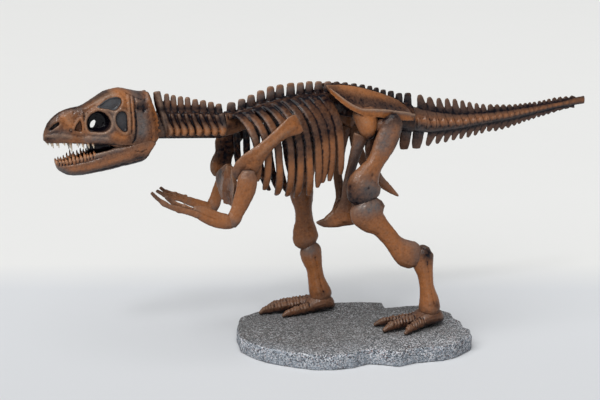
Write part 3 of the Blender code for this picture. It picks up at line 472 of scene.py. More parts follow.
def paint(piece, ground, sprays=(), side_sprays=(), wash_and_shade=1.0):
    """Paint the mesh: a ground value for each layer, then sprays of (layer, strength, radius,
    line), some in space and some as seen from the side, then dark in the hollows (dark wash
    and painted shade together), painted shade on the sides turned from the light, pale wear on
    the ridges and a painted highlight on the sides facing the light."""
    spots = points_of(piece)
    layers = np.tile(np.array(ground, float), (len(spots), 1))
    for table, where in ((sprays, spots), (side_sprays, spots[:, (0, 2)])):
        for layer, strength, radius, line in table:
            fade = np.exp(-(distance_to_line(where, line) / radius) ** 2)
            layers[:, layer] = layers[:, layer] * (1 - fade * min(abs(strength), 1.0)) + max(
                strength, 0.0) * fade
    fine = hollows(piece, 5)
    broad = hollows(piece, 26)
    # dark in the hollows: dark wash and painted shade together
    layers[:, DARK_WASH_AND_SHADE] += wash_and_shade * (np.clip(fine / FINE_HOLLOW, 0.0, 1.0) * 0.35
        + np.clip(broad / BROAD_HOLLOW, 0.0, 1.0) * 0.6)
    # painted shade on the sides turned away from the light
    layers[:, DARK_WASH_AND_SHADE] += 0.75 * np.clip(0.12 - normals_of(piece) @ SHADE_SPARED_SIDE, 0.0, 1.0)
    # pale wear on the ridges, and a painted highlight on the sides facing the light
    layers[:, WORN_AND_HIGHLIGHT] += (np.clip(-fine / FINE_HOLLOW, 0.0, 1.0) * 0.3
        + np.clip(-broad / BROAD_RIDGE, 0.0, 1.0) * 0.15
        + 0.28 * np.clip(normals_of(piece) @ PAINTED_HIGHLIGHT_SIDE - 0.72, 0.0, 0.28) / 0.28)
    set_paint(piece, np.clip(layers, 0.0, 1.0))


def hand_over(piece, node, material):
    """Keep the piece inside the solid's box, dress it, and put it in its solid's place."""
    low, high = CAD_BOX
    spots = points_of(piece)
    move_points(piece, np.clip(spots, np.array(low) + BOX_MARGIN, np.array(high) - BOX_MARGIN))
    pick([piece])
    bpy.ops.object.shade_smooth()
    piece.data.materials.clear()
    piece.data.materials.append(material)
    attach(piece, "root")
    if node:
        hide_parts(node)


# ---------------------------------------------------------------- finishes
class Recipe:
    """Short way to lay out the nodes of one material."""

    def __init__(self, name):
        self.material = bpy.data.materials.new(name)
        self.material.use_nodes = True
        self.nodes = self.material.node_tree.nodes
        self.links = self.material.node_tree.links
        self.surface = self.nodes["Principled BSDF"]
        self.place = self.nodes.new("ShaderNodeTexCoord").outputs["Object"]

    def shade(self, name, share=1.0):
        """One of the statue's colours, darkened to a share of itself."""
        return tuple(share * part for part in getattr(finish(), name))

    def layers(self):
        """The four paint layers of the mesh."""
        coat = self.nodes.new("ShaderNodeAttribute")
        coat.attribute_name = "paint"
        parts = self.nodes.new("ShaderNodeSeparateColor")
        self.links.new(coat.outputs["Color"], parts.inputs["Color"])
        return (*(parts.outputs[index] for index in range(3)), coat.outputs["Alpha"])

    def feed(self, value, socket):
        if isinstance(value, bpy.types.NodeSocket):
            self.links.new(value, socket)
        elif isinstance(value, tuple) and len(value) == 3 and socket.type == "RGBA":
            socket.default_value = (*value, 1.0)
        else:
            socket.default_value = value

    def dress(self, colour, roughness, normal=None, fixed=()):
        """Lead the colour, roughness and normal to the surface, and set its fixed numbers."""
        for socket, value in (("Base Color", colour), ("Roughness", roughness),
                ("Normal", normal)):
            if value is not None:
                self.feed(value, self.surface.inputs[socket])
        for socket, number in fixed:
            self.surface.inputs[socket].default_value = number
        return self.material

    def noise(self, scale, detail=3.0, rough=0.55, stretch=None):
        node = self.nodes.new("ShaderNodeTexNoise")
        for name, number in (("Scale", scale), ("Detail", detail), ("Roughness", rough)):
            node.inputs[name].default_value = number
        source = self.place
        if stretch:
            mapping = self.nodes.new("ShaderNodeMapping")
            mapping.inputs["Scale"].default_value = stretch
            self.links.new(source, mapping.inputs["Vector"])
            source = mapping.outputs["Vector"]
        self.links.new(source, node.inputs["Vector"])
        return node.outputs["Fac"]

    def cells(self, scale):
        node = self.nodes.new("ShaderNodeTexVoronoi")
        node.inputs["Scale"].default_value = scale
        self.links.new(self.place, node.inputs["Vector"])
        return node

    def spread(self, value, low, high, out_low=0.0, out_high=1.0):
        node = self.nodes.new("ShaderNodeMapRange")
        self.feed(value, node.inputs["Value"])
        for name, number in (("From Min", low), ("From Max", high), ("To Min", out_low),
                ("To Max", out_high)):
            node.inputs[name].default_value = number
        return node.outputs["Result"]

    def sum(self, kind, first, second, clamp=False):
        node = self.nodes.new("ShaderNodeMath")
        node.operation = kind
        node.use_clamp = clamp
        self.feed(first, node.inputs[0])
        self.feed(second, node.inputs[1])
        return node.outputs["Value"]

    def times(self, first, second):
        """The product, kept between 0 and 1."""
        return self.sum("MULTIPLY", first, second, True)

    def blend(self, share, first, second):
        node = self.nodes.new("ShaderNodeMix")
        node.data_type = "RGBA"
        for index, value in ((0, share), (6, first), (7, second)):
            self.feed(value, node.inputs[index])
        return node.outputs[2]

    def bump(self, height, distance, strength, below=None):
        node = self.nodes.new("ShaderNodeBump")
        node.inputs["Distance"].default_value = distance
        node.inputs["Strength"].default_value = strength
        self.links.new(height, node.inputs["Height"])
        if below is not None:
            self.links.new(below, node.inputs["Normal"])
        return node.outputs["Normal"]


def painted_bone(name, gloss):
    """Varnished cast bone: brown ground, orange stain, cool airbrush, worn ridges with painted
    highlights, and a dark wash with painted shade from the paint layers and from ambient
    occlusion.
    """
    made = Recipe(name)
    orange, dark, smoke, worn = made.layers()
    clouds = made.noise(20.0, 2.0, 0.5)
    patches = made.noise(75.0, 3.0, 0.6)
    grain = made.noise(330.0, 2.0, 0.6)
    colour = made.blend(made.spread(clouds, 0.38, 0.64), made.shade("bone_brown"),
        made.shade("bone_brown", 0.42))
    colour = made.blend(made.spread(patches, 0.45, 0.75, 0.0, 0.2), colour,
        made.shade("smoke_grey"))
    stain = made.times(orange, made.spread(patches, 0.3, 0.66, 0.8, 1.1))
    colour = made.blend(stain, colour, made.shade("stain_orange"))
    cool = made.times(smoke, made.spread(patches, 0.3, 0.7, 1.15, 0.7))
    colour = made.blend(cool, colour, made.shade("smoke_grey"))
    # pale rubbed ridges, and painted highlights on the sides facing the light
    rubbed_and_highlight = made.times(worn, made.spread(grain, 0.35, 0.62, 0.3, 1.0))
    colour = made.blend(rubbed_and_highlight, colour, made.shade("worn_edge_and_highlight"))
    colour = made.blend(made.spread(grain, 0.56, 0.72, 0.0, 0.22), colour,
        made.shade("bone_brown", 0.35))
    # painted shade: ambient occlusion darkens sheltered places to blue-black, along with the dark
    # wash and painted shade of the paint layers
    occlusion_shade_node = made.nodes.new("ShaderNodeAmbientOcclusion")
    occlusion_shade_node.samples = 6
    occlusion_shade_node.inputs["Distance"].default_value = 0.09
    painted_occlusion_shade = made.spread(occlusion_shade_node.outputs["AO"], 0.22, 0.88, 1.0, 0.0)
    wash_and_shade = made.times(dark, made.spread(patches, 0.3, 0.65, 1.2, 0.8))
    colour = made.blend(made.sum("MAXIMUM", wash_and_shade, painted_occlusion_shade), colour, made.shade("shade_and_wash_black"))
    skin = made.bump(made.noise(260.0, 4.0, 0.6), 0.0006, 0.25)
    return made.dress(colour, made.spread(patches, 0.3, 0.7, gloss - 0.06, gloss + 0.12),
        made.bump(patches, 0.0025, 0.2, skin),
        (("Specular IOR Level", 0.04), ("Coat Weight", 0.36), ("Coat Roughness", 0.15)))


def speckled_stone(name):
    """Coarse sprayed stone: blue-grey walls and a browner top, with black and white grains; its
    paint layers carry painted light on the front and painted shade on the walls that face right.
    """
    made = Recipe(name)
    _, dark, blue, thickness = made.layers()
    clouds = made.noise(9.0, 4.0, 0.6)
    streaks = made.noise(26.0, 4.0, 0.65, stretch=(0.5, 2.2, 1.0))
    top = made.blend(made.spread(streaks, 0.36, 0.68), made.shade("stone_brown"),
        made.shade("stone_brown", 0.62))
    wall = made.blend(made.spread(clouds, 0.35, 0.65), made.shade("stone_blue"),
        made.shade("stone_blue", 0.72))
    # blue share: walls blue-grey, and the front paler as painted light
    colour = made.blend(blue, top, wall)
    grains = made.cells(290.0)
    tone = made.nodes.new("ShaderNodeSeparateColor")
    made.links.new(grains.outputs["Color"], tone.inputs["Color"])
    thick = made.sum("MULTIPLY", thickness, made.spread(clouds, 0.3, 0.6, 0.7, 1.1))
    # black, white and brown grains: where the tone starts and ends, how strong, and the colour
    for index, (low, high, most, shade) in enumerate(((0.66, 0.69, 0.95, (0.018, 0.018, 0.022)),
            (0.68, 0.72, 0.85, (0.7, 0.71, 0.74)), (0.9, 0.93, 0.6, (0.23, 0.11, 0.09)))):
        grain = made.sum("MULTIPLY", made.spread(tone.outputs[index], low, high, 0.0, most), thick)
        colour = made.blend(grain, colour, shade)
    # dark share: dark in the hollows, and painted shade on the walls that face right
    colour = made.blend(dark, colour, (0.03, 0.03, 0.034))
    coarse = made.bump(grains.outputs["Distance"], 0.0012, 0.45)
    return made.dress(colour, made.spread(clouds, 0.3, 0.7, 0.72, 0.9),
        made.bump(streaks, 0.004, 0.35, coarse), (("Specular IOR Level", 0.35),))


def sweep_paper(name, near, far, ahead, edges, gloss):
    """Sweep of paper: the near shade, a little darker at the front edge, then softly a lighter
    far shade behind the statue, painted light where a wall would catch the light, a little darker
    again far off.
    """
    made = Recipe(name)
    clouds = made.noise(2.2, 3.0, 0.5)
    line = made.nodes.new("ShaderNodeVectorMath")
    line.operation = "DOT_PRODUCT"
    made.links.new(made.place, line.inputs[0])
    line.inputs[1].default_value = (*ahead, 0.0)
    depth = line.outputs["Value"]
    shade = tuple(0.965 * part for part in near)
    for start, end, then in zip(edges, edges[1:],
            (tuple(near), tuple(far), tuple(0.955 * part for part in far))):
        shade = made.blend(made.spread(depth, start, end), shade, then)
    shade = made.blend(made.spread(clouds, 0.35, 0.65, 0.0, 0.012), shade, (0.6, 0.6, 0.6))
    return made.dress(shade, gloss, fixed=(("Specular IOR Level", 0.0),))


def material_named(name, build, *details):
    """Each finish is mixed once and then shared."""
    return bpy.data.materials.get(name) or build(name, *details)


def brown_bone():
    return material_named("varnished_brown_bone", painted_bone, finish().varnish)


def grey_bone():
    return material_named("varnished_grey_bone", painted_bone, finish().varnish + 0.05)


def stained_tooth(name):
    """Ivory tooth, brown at the root: the fourth paint channel is the pale share."""
    made = Recipe(name)
    orange, dark, _, pale = made.layers()
    grain = made.noise(420.0, 2.0, 0.6)
    colour = made.blend(orange, made.shade("bone_brown"), made.shade("stain_orange"))
    ivory = made.sum("MULTIPLY", pale, made.spread(grain, 0.3, 0.6, 0.7, 1.0))
    colour = made.blend(ivory, colour, made.shade("tooth_ivory"))
    colour = made.blend(dark, colour, made.shade("shade_and_wash_black"))
    return made.dress(colour, made.spread(grain, 0.3, 0.7, 0.28, 0.42),
        made.bump(grain, 0.0004, 0.3))


def tooth_finish():
    return material_named("stained_tooth", stained_tooth)


# ---------------------------------------------------------------- base
BASE_HEIGHT = 0.054
BASE_OUTLINE = metres(((-390, -32), (-366, -114), (-326, -176), (-262, -240), (-209, -280),
    (-160, -294), (-98, -300), (-34, -282), (8, -306), (52, -342), (120, -326), (212, -338),
    (276, -318), (346, -272), (372, -214), (358, -180), (380, -116), (370, -76), (386, -28),
    (372, 14), (318, 90), (196, 108), (206, 168), (45, 226), (-115, 228), (-246, 218), (-326, 174),
    (-348, 134), (-372, 66)))
# height and how far the wall stands in from its widest line
BASE_WALL = metres(((0, 3), (4, 1.2), (12, 0), (24, 0.4), (36, 0.8), (45, 1.2), (50, 2.2),
    (53.2, 4.5), (54, 8)))


def outline_points(shares):
    """Points at the given shares of each side of the base's outline."""
    return [[start[axis] + (end[axis] - start[axis]) * share for axis in (0, 1)]
        for start, end in zip(BASE_OUTLINE, BASE_OUTLINE[1:] + BASE_OUTLINE[:1])
        for share in shares]


class STATUE_OT_base(bpy.types.Operator):
    """Make the broken slab of stone-look casting that the feet stand on"""
    bl_idname = "statue.base"
    bl_label = "Base"

    def execute(self, context):
        outline = np.array(outline_points([step / 5 for step in range(5)]))
        away = outline + np.array((0.0, 0.05))
        away /= np.linalg.norm(away, axis=1)[:, None]
        rings = []
        for height, inset in BASE_WALL:
            ring = []
            for (x, y), (out_x, out_y) in zip(outline, away):
                jag = inset
                if height > 0.0:
                    jag += 0.0045 * noise.noise(Vector((x * 34, y * 34, height * 12))) - 0.0012
                ring.append((x - out_x * jag, y - out_y * jag, height))
            rings.append(ring)
        piece = cast("stone_base", [draw_sections("slab", rings)], sizes().base_grain, 1)
        self.weather(piece)
        self.tint(piece)
        hand_over(piece, "base", material_named("speckled_stone", speckled_stone))
        return {"FINISHED"}

    def weather(self, piece):
        """Ripples and shallow steps on top, and flutes and chips down the walls."""
        spots = points_of(piece)
        ways = normals_of(piece)
        relief = sizes().stone_relief
        lift = np.zeros(len(spots))
        upward = np.clip(ways[:, 2] * 1.4 - 0.3, 0.0, 1.0)
        wall = np.clip(1.0 - np.abs(ways[:, 2]) * 1.3, 0.0, 1.0)
        for index, (x, y, z) in enumerate(spots):
            if z < 0.0015:
                continue
            ripple = noise.noise(Vector((x * 16, y * 44, 1.7)))
            step = math.tanh(6.0 * noise.noise(Vector((x * 6.5 + 4.0, y * 15, 0.3))))
            pits = noise.noise(Vector((x * 120, y * 120, z * 120)))
            flute = noise.noise(Vector((x * 42, y * 42, z * 9)))
            lift[index] = upward[index] * relief * (0.42 * ripple + 0.4 * step - 0.55) + wall[
                index] * 0.0042 * (flute - 0.25) + 0.0007 * pits
        spots += ways * lift[:, None]
        spots[:, 2] = np.clip(spots[:, 2], 0.0, BASE_HEIGHT)
        move_points(piece, spots)

    def tint(self, piece):
        """The third paint channel is the pale blue-grey share, with painted light on the front,
        the second the dark one, with painted shade on the walls that face right, and the fourth
        how thick the grains lie."""
        spots = points_of(piece)
        ways = normals_of(piece)
        near_edge = np.full(len(spots), 1.0)
        for there in outline_points((0.0, 0.33, 0.67)):
            near_edge = np.minimum(near_edge, np.linalg.norm(spots[:, :2] - there, axis=1))
        rim = np.clip((0.075 - near_edge) / 0.055, 0.0, 1.0)
        # painted light: the front of the base and its rim near the front are made paler and bluer
        front = np.maximum(np.clip((-spots[:, 1] - 0.16) / 0.14, 0.0, 1.0),
            0.85 * rim * np.clip((-spots[:, 1] - 0.03) / 0.08, 0.0, 1.0))
        # painted shade: the walls that face right, away from the light, are darker
        rightward_shade = np.clip(ways[:, 0] * 1.2 - 0.2, 0.0, 1.0)
        rising = np.clip((spots[:, 2] - 0.01) / 0.032, 0.0, 1.0)
        layers = np.zeros((len(spots), 4))
        layers[:, SMOKE] = np.clip(1.25 - np.abs(ways[:, 2]) * 1.25, 0.0, 1.0) + 0.45 * front
        # for the base the fourth channel holds how thick the grains lie
        layers[:, WORN_AND_HIGHLIGHT] = np.where(ways[:, 2] > 0.7, 0.5 + 0.38 * front, 0.58 + 0.34 * rising)
        layers[:, DARK_WASH_AND_SHADE] = (np.clip(hollows(piece, 5) / 0.0012, 0.0, 1.0) * 0.25
            + np.clip(hollows(piece, 24) / 0.004, 0.0, 1.0) * 0.25 + 0.3 * rightward_shade)
        set_paint(piece, np.clip(layers, 0.0, 1.0))


# ---------------------------------------------------------------- head
# x at the roof, roof z, jaw-edge z, half width at the roof, half width at the jaw edge,
# and how far the bottom of the section lies behind its top
SKULL_SECTIONS = metres(((-1009, 776, 757, 7, 9, 0), (-1000, 799, 749, 13, 15, 0),
    (-991, 813.5, 749, 15, 18, 0), (-975, 829, 748, 18, 22, 0), (-952, 843.5, 747, 20, 26, 0),
    (-924, 852, 745, 23, 31, 0), (-896, 856, 743, 29, 37, 0), (-856, 875, 740, 41, 48, 0),
    (-812, 899, 735.5, 51, 58, 0), (-794, 903.5, 728.5, 52.5, 60, 0),
    (-766, 906.5, 728, 55, 63, 0), (-734, 899.5, 726, 54, 64, 8), (-704, 893, 723, 50, 62, 26),
    (-680, 892, 726, 46, 60, 47)))
SKULL_SIDE = ((0.5, 0.95), (0.82, 0.66), (0.97, 0.15), (1.0, -0.45), (0.96, -0.88), (0.78, -1.0))
# openings of the skull seen from the side: depth of the recess, share of its size at the
# bottom, and the outline as (x, z)
SKULL_OPENINGS = openings(
    {"eye": (37, 0.88, ((-879, 812), (-872, 827), (-859, 839), (-843, 844), (-827, 840),
    (-815, 828), (-808, 811), (-809, 795), (-820, 783), (-836, 779), (-856, 780), (-872, 784),
    (-879, 797))),
    "brow": (10, 0.9, ((-843, 857), (-832, 866), (-818, 876), (-802, 882), (-783, 884),
    (-773, 880), (-770, 872), (-774, 861), (-785, 848), (-797, 844), (-814, 850), (-829, 851))),
    "cheek": (13, 0.88, ((-782, 839), (-769, 841), (-759, 835), (-757, 821), (-757, 799),
    (-757, 780), (-766, 776), (-777, 783), (-788, 797), (-793, 815), (-790, 830))),
    "snout": (8.5, 0.75, ((-898, 817), (-894, 809), (-893, 794), (-895, 782), (-907, 782),
    (-917, 787), (-914, 797), (-905, 811))),
    "nostril": (9, 0.75, ((-993, 791), (-985, 800), (-976, 808), (-964, 814.5), (-958, 811),
    (-964, 802), (-975, 795), (-987, 788)))})
# the slit that joins the two eye sockets, at the mid-plane, and how it slants through
EYE_SLIT = metres(((-863, 791.5), (-860, 804), (-851.5, 810.8), (-845.5, 809), (-846.5, 800),
    (-851, 791), (-857.5, 785)))
SLIT_SLANT = (0.204, -0.185)
THROAT = metres(((-868, 0, 730, 44, 54), (-800, 0, 732, 44, 66), (-752, 0, 734, 40, 70)))
# how far each line stands up (over 0) or is cut in (under 0), its width, and its course (x, z)
SKULL_STROKES = metres(
    ((-3.6, 3.4, ((-728, 879), (-729, 858), (-730, 837), (-729, 806), (-730, 775), (-734, 754),
    (-742, 741))), (2.2, 4, ((-748, 888), (-751, 859), (-749, 835), (-749, 808), (-749, 780),
    (-745, 757))), (2, 3.5, ((-737, 884), (-738, 850), (-737, 812), (-738, 772))),
    (-2, 2.2, ((-743, 874), (-744, 844), (-742, 820), (-744, 792), (-747, 770))),
    (-2.2, 2.6, ((-886, 839), (-886, 821), (-887, 803), (-886, 788))),
    (1.6, 3, ((-892, 836), (-892, 818))),
    (2, 4.5, ((-884, 850), (-853, 866), (-827, 882), (-802, 892), (-778, 895))),
    (2.4, 6, ((-1003, 769), (-985, 772), (-961, 773), (-938, 769), (-914, 763), (-890, 761),
    (-866, 762), (-843, 762), (-819, 758))), (-2.8, 14, ((-710, 820), (-708, 795), (-711, 765))),
    (-6.5, 9.5, ((-718, 850), (-704, 848), (-700, 842))),
    (2.2, 5, ((-722, 866), (-706, 866), (-692, 862))),
    (4, 7.5, ((-683, 889), (-683, 861), (-681, 831), (-676, 797), (-672, 766), (-672, 744))),
    (-1.8, 2.5, ((-752, 895), (-737, 887), (-719, 879), (-707, 873))),
    (-2.2, 2.2, ((-803, 739), (-765, 731), (-737, 730))),
    (2.2, 8, ((-800, 770), (-782, 760), (-764, 760))),
    (1.8, 7, ((-940, 826), (-932, 806), (-926, 792))),
    (1.2, 2.2, ((-920, 791), (-914, 803), (-905, 817)))))
# height and width of the raised rims round the openings
EYE_RIM = metres((2.6, 4.2))
SMALL_RIM = 0.55             # the other rims' height, as a share
RIM_GAP = 0.0052             # how far a rim lies outside its opening
NOSTRIL_BEAD = metres((-928, 788))
UPPER_TEETH = metres(((-998, 6), (-984, 13.5), (-967, 12.5), (-949, 7), (-929, 22.5), (-909, 9),
    (-893, 14), (-877, 11), (-863, 9.5)))
SKULL_SPRAYS = coats(((ORANGE, 0.95, 22, ((-944, 822), (-936, 806), (-928, 796))),
    (ORANGE, 0.6, 16, ((-905, 830), (-893, 800), (-880, 770))),
    (ORANGE, 1.0, 20, ((-777, 893), (-759, 884), (-752, 868))),
    (ORANGE, 0.85, 9, ((-740, 868), (-741, 830), (-741, 790))),
    (ORANGE, 0.75, 14, ((-803, 772), (-785, 764), (-768, 762))),
    (ORANGE, 1.0, 18, ((-690, 886), (-676, 850), (-664, 810), (-664, 780), (-676, 748))),
    (DARK_WASH_AND_SHADE, 0.52, 20, ((-706, 888), (-690, 850), (-676, 820), (-668, 780), (-680, 745))),
    (WORN_AND_HIGHLIGHT, -0.45, 18, ((-694, 880), (-674, 840), (-662, 800), (-664, 765))),
    (SMOKE, -0.4, 14, ((-684, 870), (-668, 830), (-660, 790))),
    (DARK_WASH_AND_SHADE, 0.7, 6, ((-680, 892), (-662, 850), (-648, 800), (-646, 760))),
    (ORANGE, 0.5, 14, ((-866, 752), (-900, 756), (-925, 760))),
    (ORANGE, 0.45, 20, ((-862, 858), (-840, 868))),
    (WORN_AND_HIGHLIGHT, 0.55, 8, ((-848, 872), (-820, 888), (-795, 893))),
    (WORN_AND_HIGHLIGHT, 0.42, 10, ((-936, 828), (-931, 814))),
    (DARK_WASH_AND_SHADE, 0.4, 13, ((-992, 802), (-984, 786), (-968, 784))),
    (DARK_WASH_AND_SHADE, 0.3, 10, ((-966, 822), (-956, 806))), (DARK_WASH_AND_SHADE, 0.35, 10, ((-907, 845), (-913, 828))),
    (DARK_WASH_AND_SHADE, 0.3, 16, ((-935, 786), (-905, 772))), (DARK_WASH_AND_SHADE, 0.9, 5.8, ((-928, 788),)),
    (DARK_WASH_AND_SHADE, -1.4, 3.2, ((-928, 788),)), (WORN_AND_HIGHLIGHT, 1.4, 3.2, ((-928, 788),)),
    (WORN_AND_HIGHLIGHT, 0.45, 10, ((-800, 852), (-796, 828), (-801, 800))),
    (WORN_AND_HIGHLIGHT, 0.5, 6, ((-880, 836), (-882, 812), (-881, 790))),
    (WORN_AND_HIGHLIGHT, 0.45, 7, ((-985, 771), (-950, 772), (-930, 765))),
    (WORN_AND_HIGHLIGHT, 0.45, 6, ((-749, 868), (-748, 800))),
    (SMOKE, 0.95, 19, ((-714, 828), (-710, 800), (-713, 772))),
    (WORN_AND_HIGHLIGHT, 0.2, 14, ((-712, 822), (-708, 800), (-711, 775))),
    (SMOKE, 0.55, 12, ((-820, 856), (-800, 845), (-798, 815), (-806, 785))),
    (SMOKE, 0.55, 16, ((-985, 776), (-962, 778), (-940, 776))),
    (SMOKE, 0.7, 15, ((-880, 758), (-850, 762), (-826, 764))),
    (WORN_AND_HIGHLIGHT, 0.3, 12, ((-890, 768), (-850, 770), (-822, 768))),
    (SMOKE, 0.7, 22, ((-722, 888), (-706, 876))),
    (DARK_WASH_AND_SHADE, 0.75, 9, ((-1000, 803), (-981, 826), (-952, 845), (-924, 854), (-896, 859), (-856, 878),
    (-812, 902))), (DARK_WASH_AND_SHADE, 0.45, 16, ((-905, 848), (-893, 842))),
    (DARK_WASH_AND_SHADE, 0.98, 11.5, ((-705, 848), (-716, 848))),
    (DARK_WASH_AND_SHADE, 0.6, 6, ((-800, 741), (-840, 742), (-870, 745))),
    (DARK_WASH_AND_SHADE, 0.3, 20, ((-735, 750), (-715, 740))), (DARK_WASH_AND_SHADE, 0.65, 10, ((-1002, 760), (-990, 756))),
    (DARK_WASH_AND_SHADE, 0.75, 5, ((-729, 838), (-730, 775), (-736, 750)))))
# what each recess is painted with inside
RECESS_PAINT = {"eye": (0.0, 1.6, 0.0, 0.0), "brow": (0.0, 0.06, 1.0, 0.0),
    "cheek": (0.0, 0.28, 1.0, 0.0), "snout": (0.25, 0.3, 0.0, 0.0),
    "nostril": (0.0, 0.85, 0.3, 0.0)}


def skull_half_width(x, z):
    roof, edge, half_top, half_low, _ = between(SKULL_SECTIONS, x)
    share = min(max((roof - z) / (roof - edge), 0.0), 1.0)
    side = [((1 - up) / 2, out) for out, up in SKULL_SIDE]
    return (half_top + (half_low - half_top) * share) * between(side, share)[0]


def opening_line(name):
    """The smooth outline of one opening of the skull, and its middle."""
    line = closed_curve(SKULL_OPENINGS[name][2], 26)
    return line, line.mean(axis=0)


def cast_skin(piece):
    """Large and small unevenness of the cast skull and jaw."""
    roughen(piece, sizes().bone_pitting * 1.1, 0.012)
    roughen(piece, sizes().bone_pitting * 0.6, 0.005, seed=3.0)


def tooth(master, root, tip, thick):
    """A copy of the master tooth from its root to its tip; it curves back a little."""
    root = Vector(root)
    tip = Vector(tip)
    way = tip - root
    part = copy_part(master, root, (thick, thick, way.length))
    spots = points_of(part) - np.array(root)
    turn = np.array(Vector((0, 0, 1)).rotation_difference(way).to_matrix())
    move_points(part, spots @ turn.T + np.array(root))
    return part


def master_tooth():
    """One curved cone, a metre tall, to be copied at each tooth's own size."""
    rows = ((0.0, 0.0, 0.0, 2.0, 1.8), (0.05, 0.0, 0.4, 2.0, 1.7), (0.02, 0.0, 0.68, 1.62, 1.35),
        (0.1, 0.0, 0.88, 0.95, 0.8), (0.26, 0.0, 1.0, 0.36, 0.32))
    return draw_bone("tooth", rows, sides=8, step=0.25, dome=0.2, fit=1.0)


def row_of_teeth(name, table, down, place):
    """Both sides of a row of teeth; place gives a tooth's distance from the middle, its root
    and tip as (x, z), and its thickness."""
    master = master_tooth()
    teeth = []
    for side in (LEFT, RIGHT):
        for x, measure in table:
            half, (root_x, root_z), (tip_x, tip_z), thick = place(x, measure)
            teeth.append(tooth(master, (root_x, side * half, root_z), (tip_x, side * half, tip_z),
                thick))
    bpy.data.objects.remove(master)
    row = join(name, teeth)
    stain_teeth(row, table, down)
    hand_over(row, None, tooth_finish())


def stain_teeth(row, table, down):
    """Upper teeth are stained at the root and pale at the tip; lower teeth are orange, a little
    pale near the middle and dark towards the tip.
    """
    spots = points_of(row)
    reach = np.zeros(len(spots))
    for x, _ in table:
        near = np.abs(spots[:, 0] - x) < 0.006
        level = spots[near, 2]
        root = level.max() if down else level.min()
        reach[near] = np.abs(root - level) / (level.max() - level.min())
    layers = np.zeros((len(spots), 4))
    if down:
        layers[:, ORANGE] = 0.4
        layers[:, WORN_AND_HIGHLIGHT] = np.clip(reach * 2.2 - 0.4, 0.0, 1.0)
        layers[:, DARK_WASH_AND_SHADE] = np.clip(0.45 - reach * 1.2, 0.0, 1.0)
    else:
        layers[:, ORANGE] = 1.0
        layers[:, WORN_AND_HIGHLIGHT] = np.clip(0.3 - np.abs(reach - 0.45), 0.0, 1.0)
        layers[:, DARK_WASH_AND_SHADE] = np.clip(reach * 2.6 - 1.5, 0.1, 0.9)
    set_paint(row, layers)


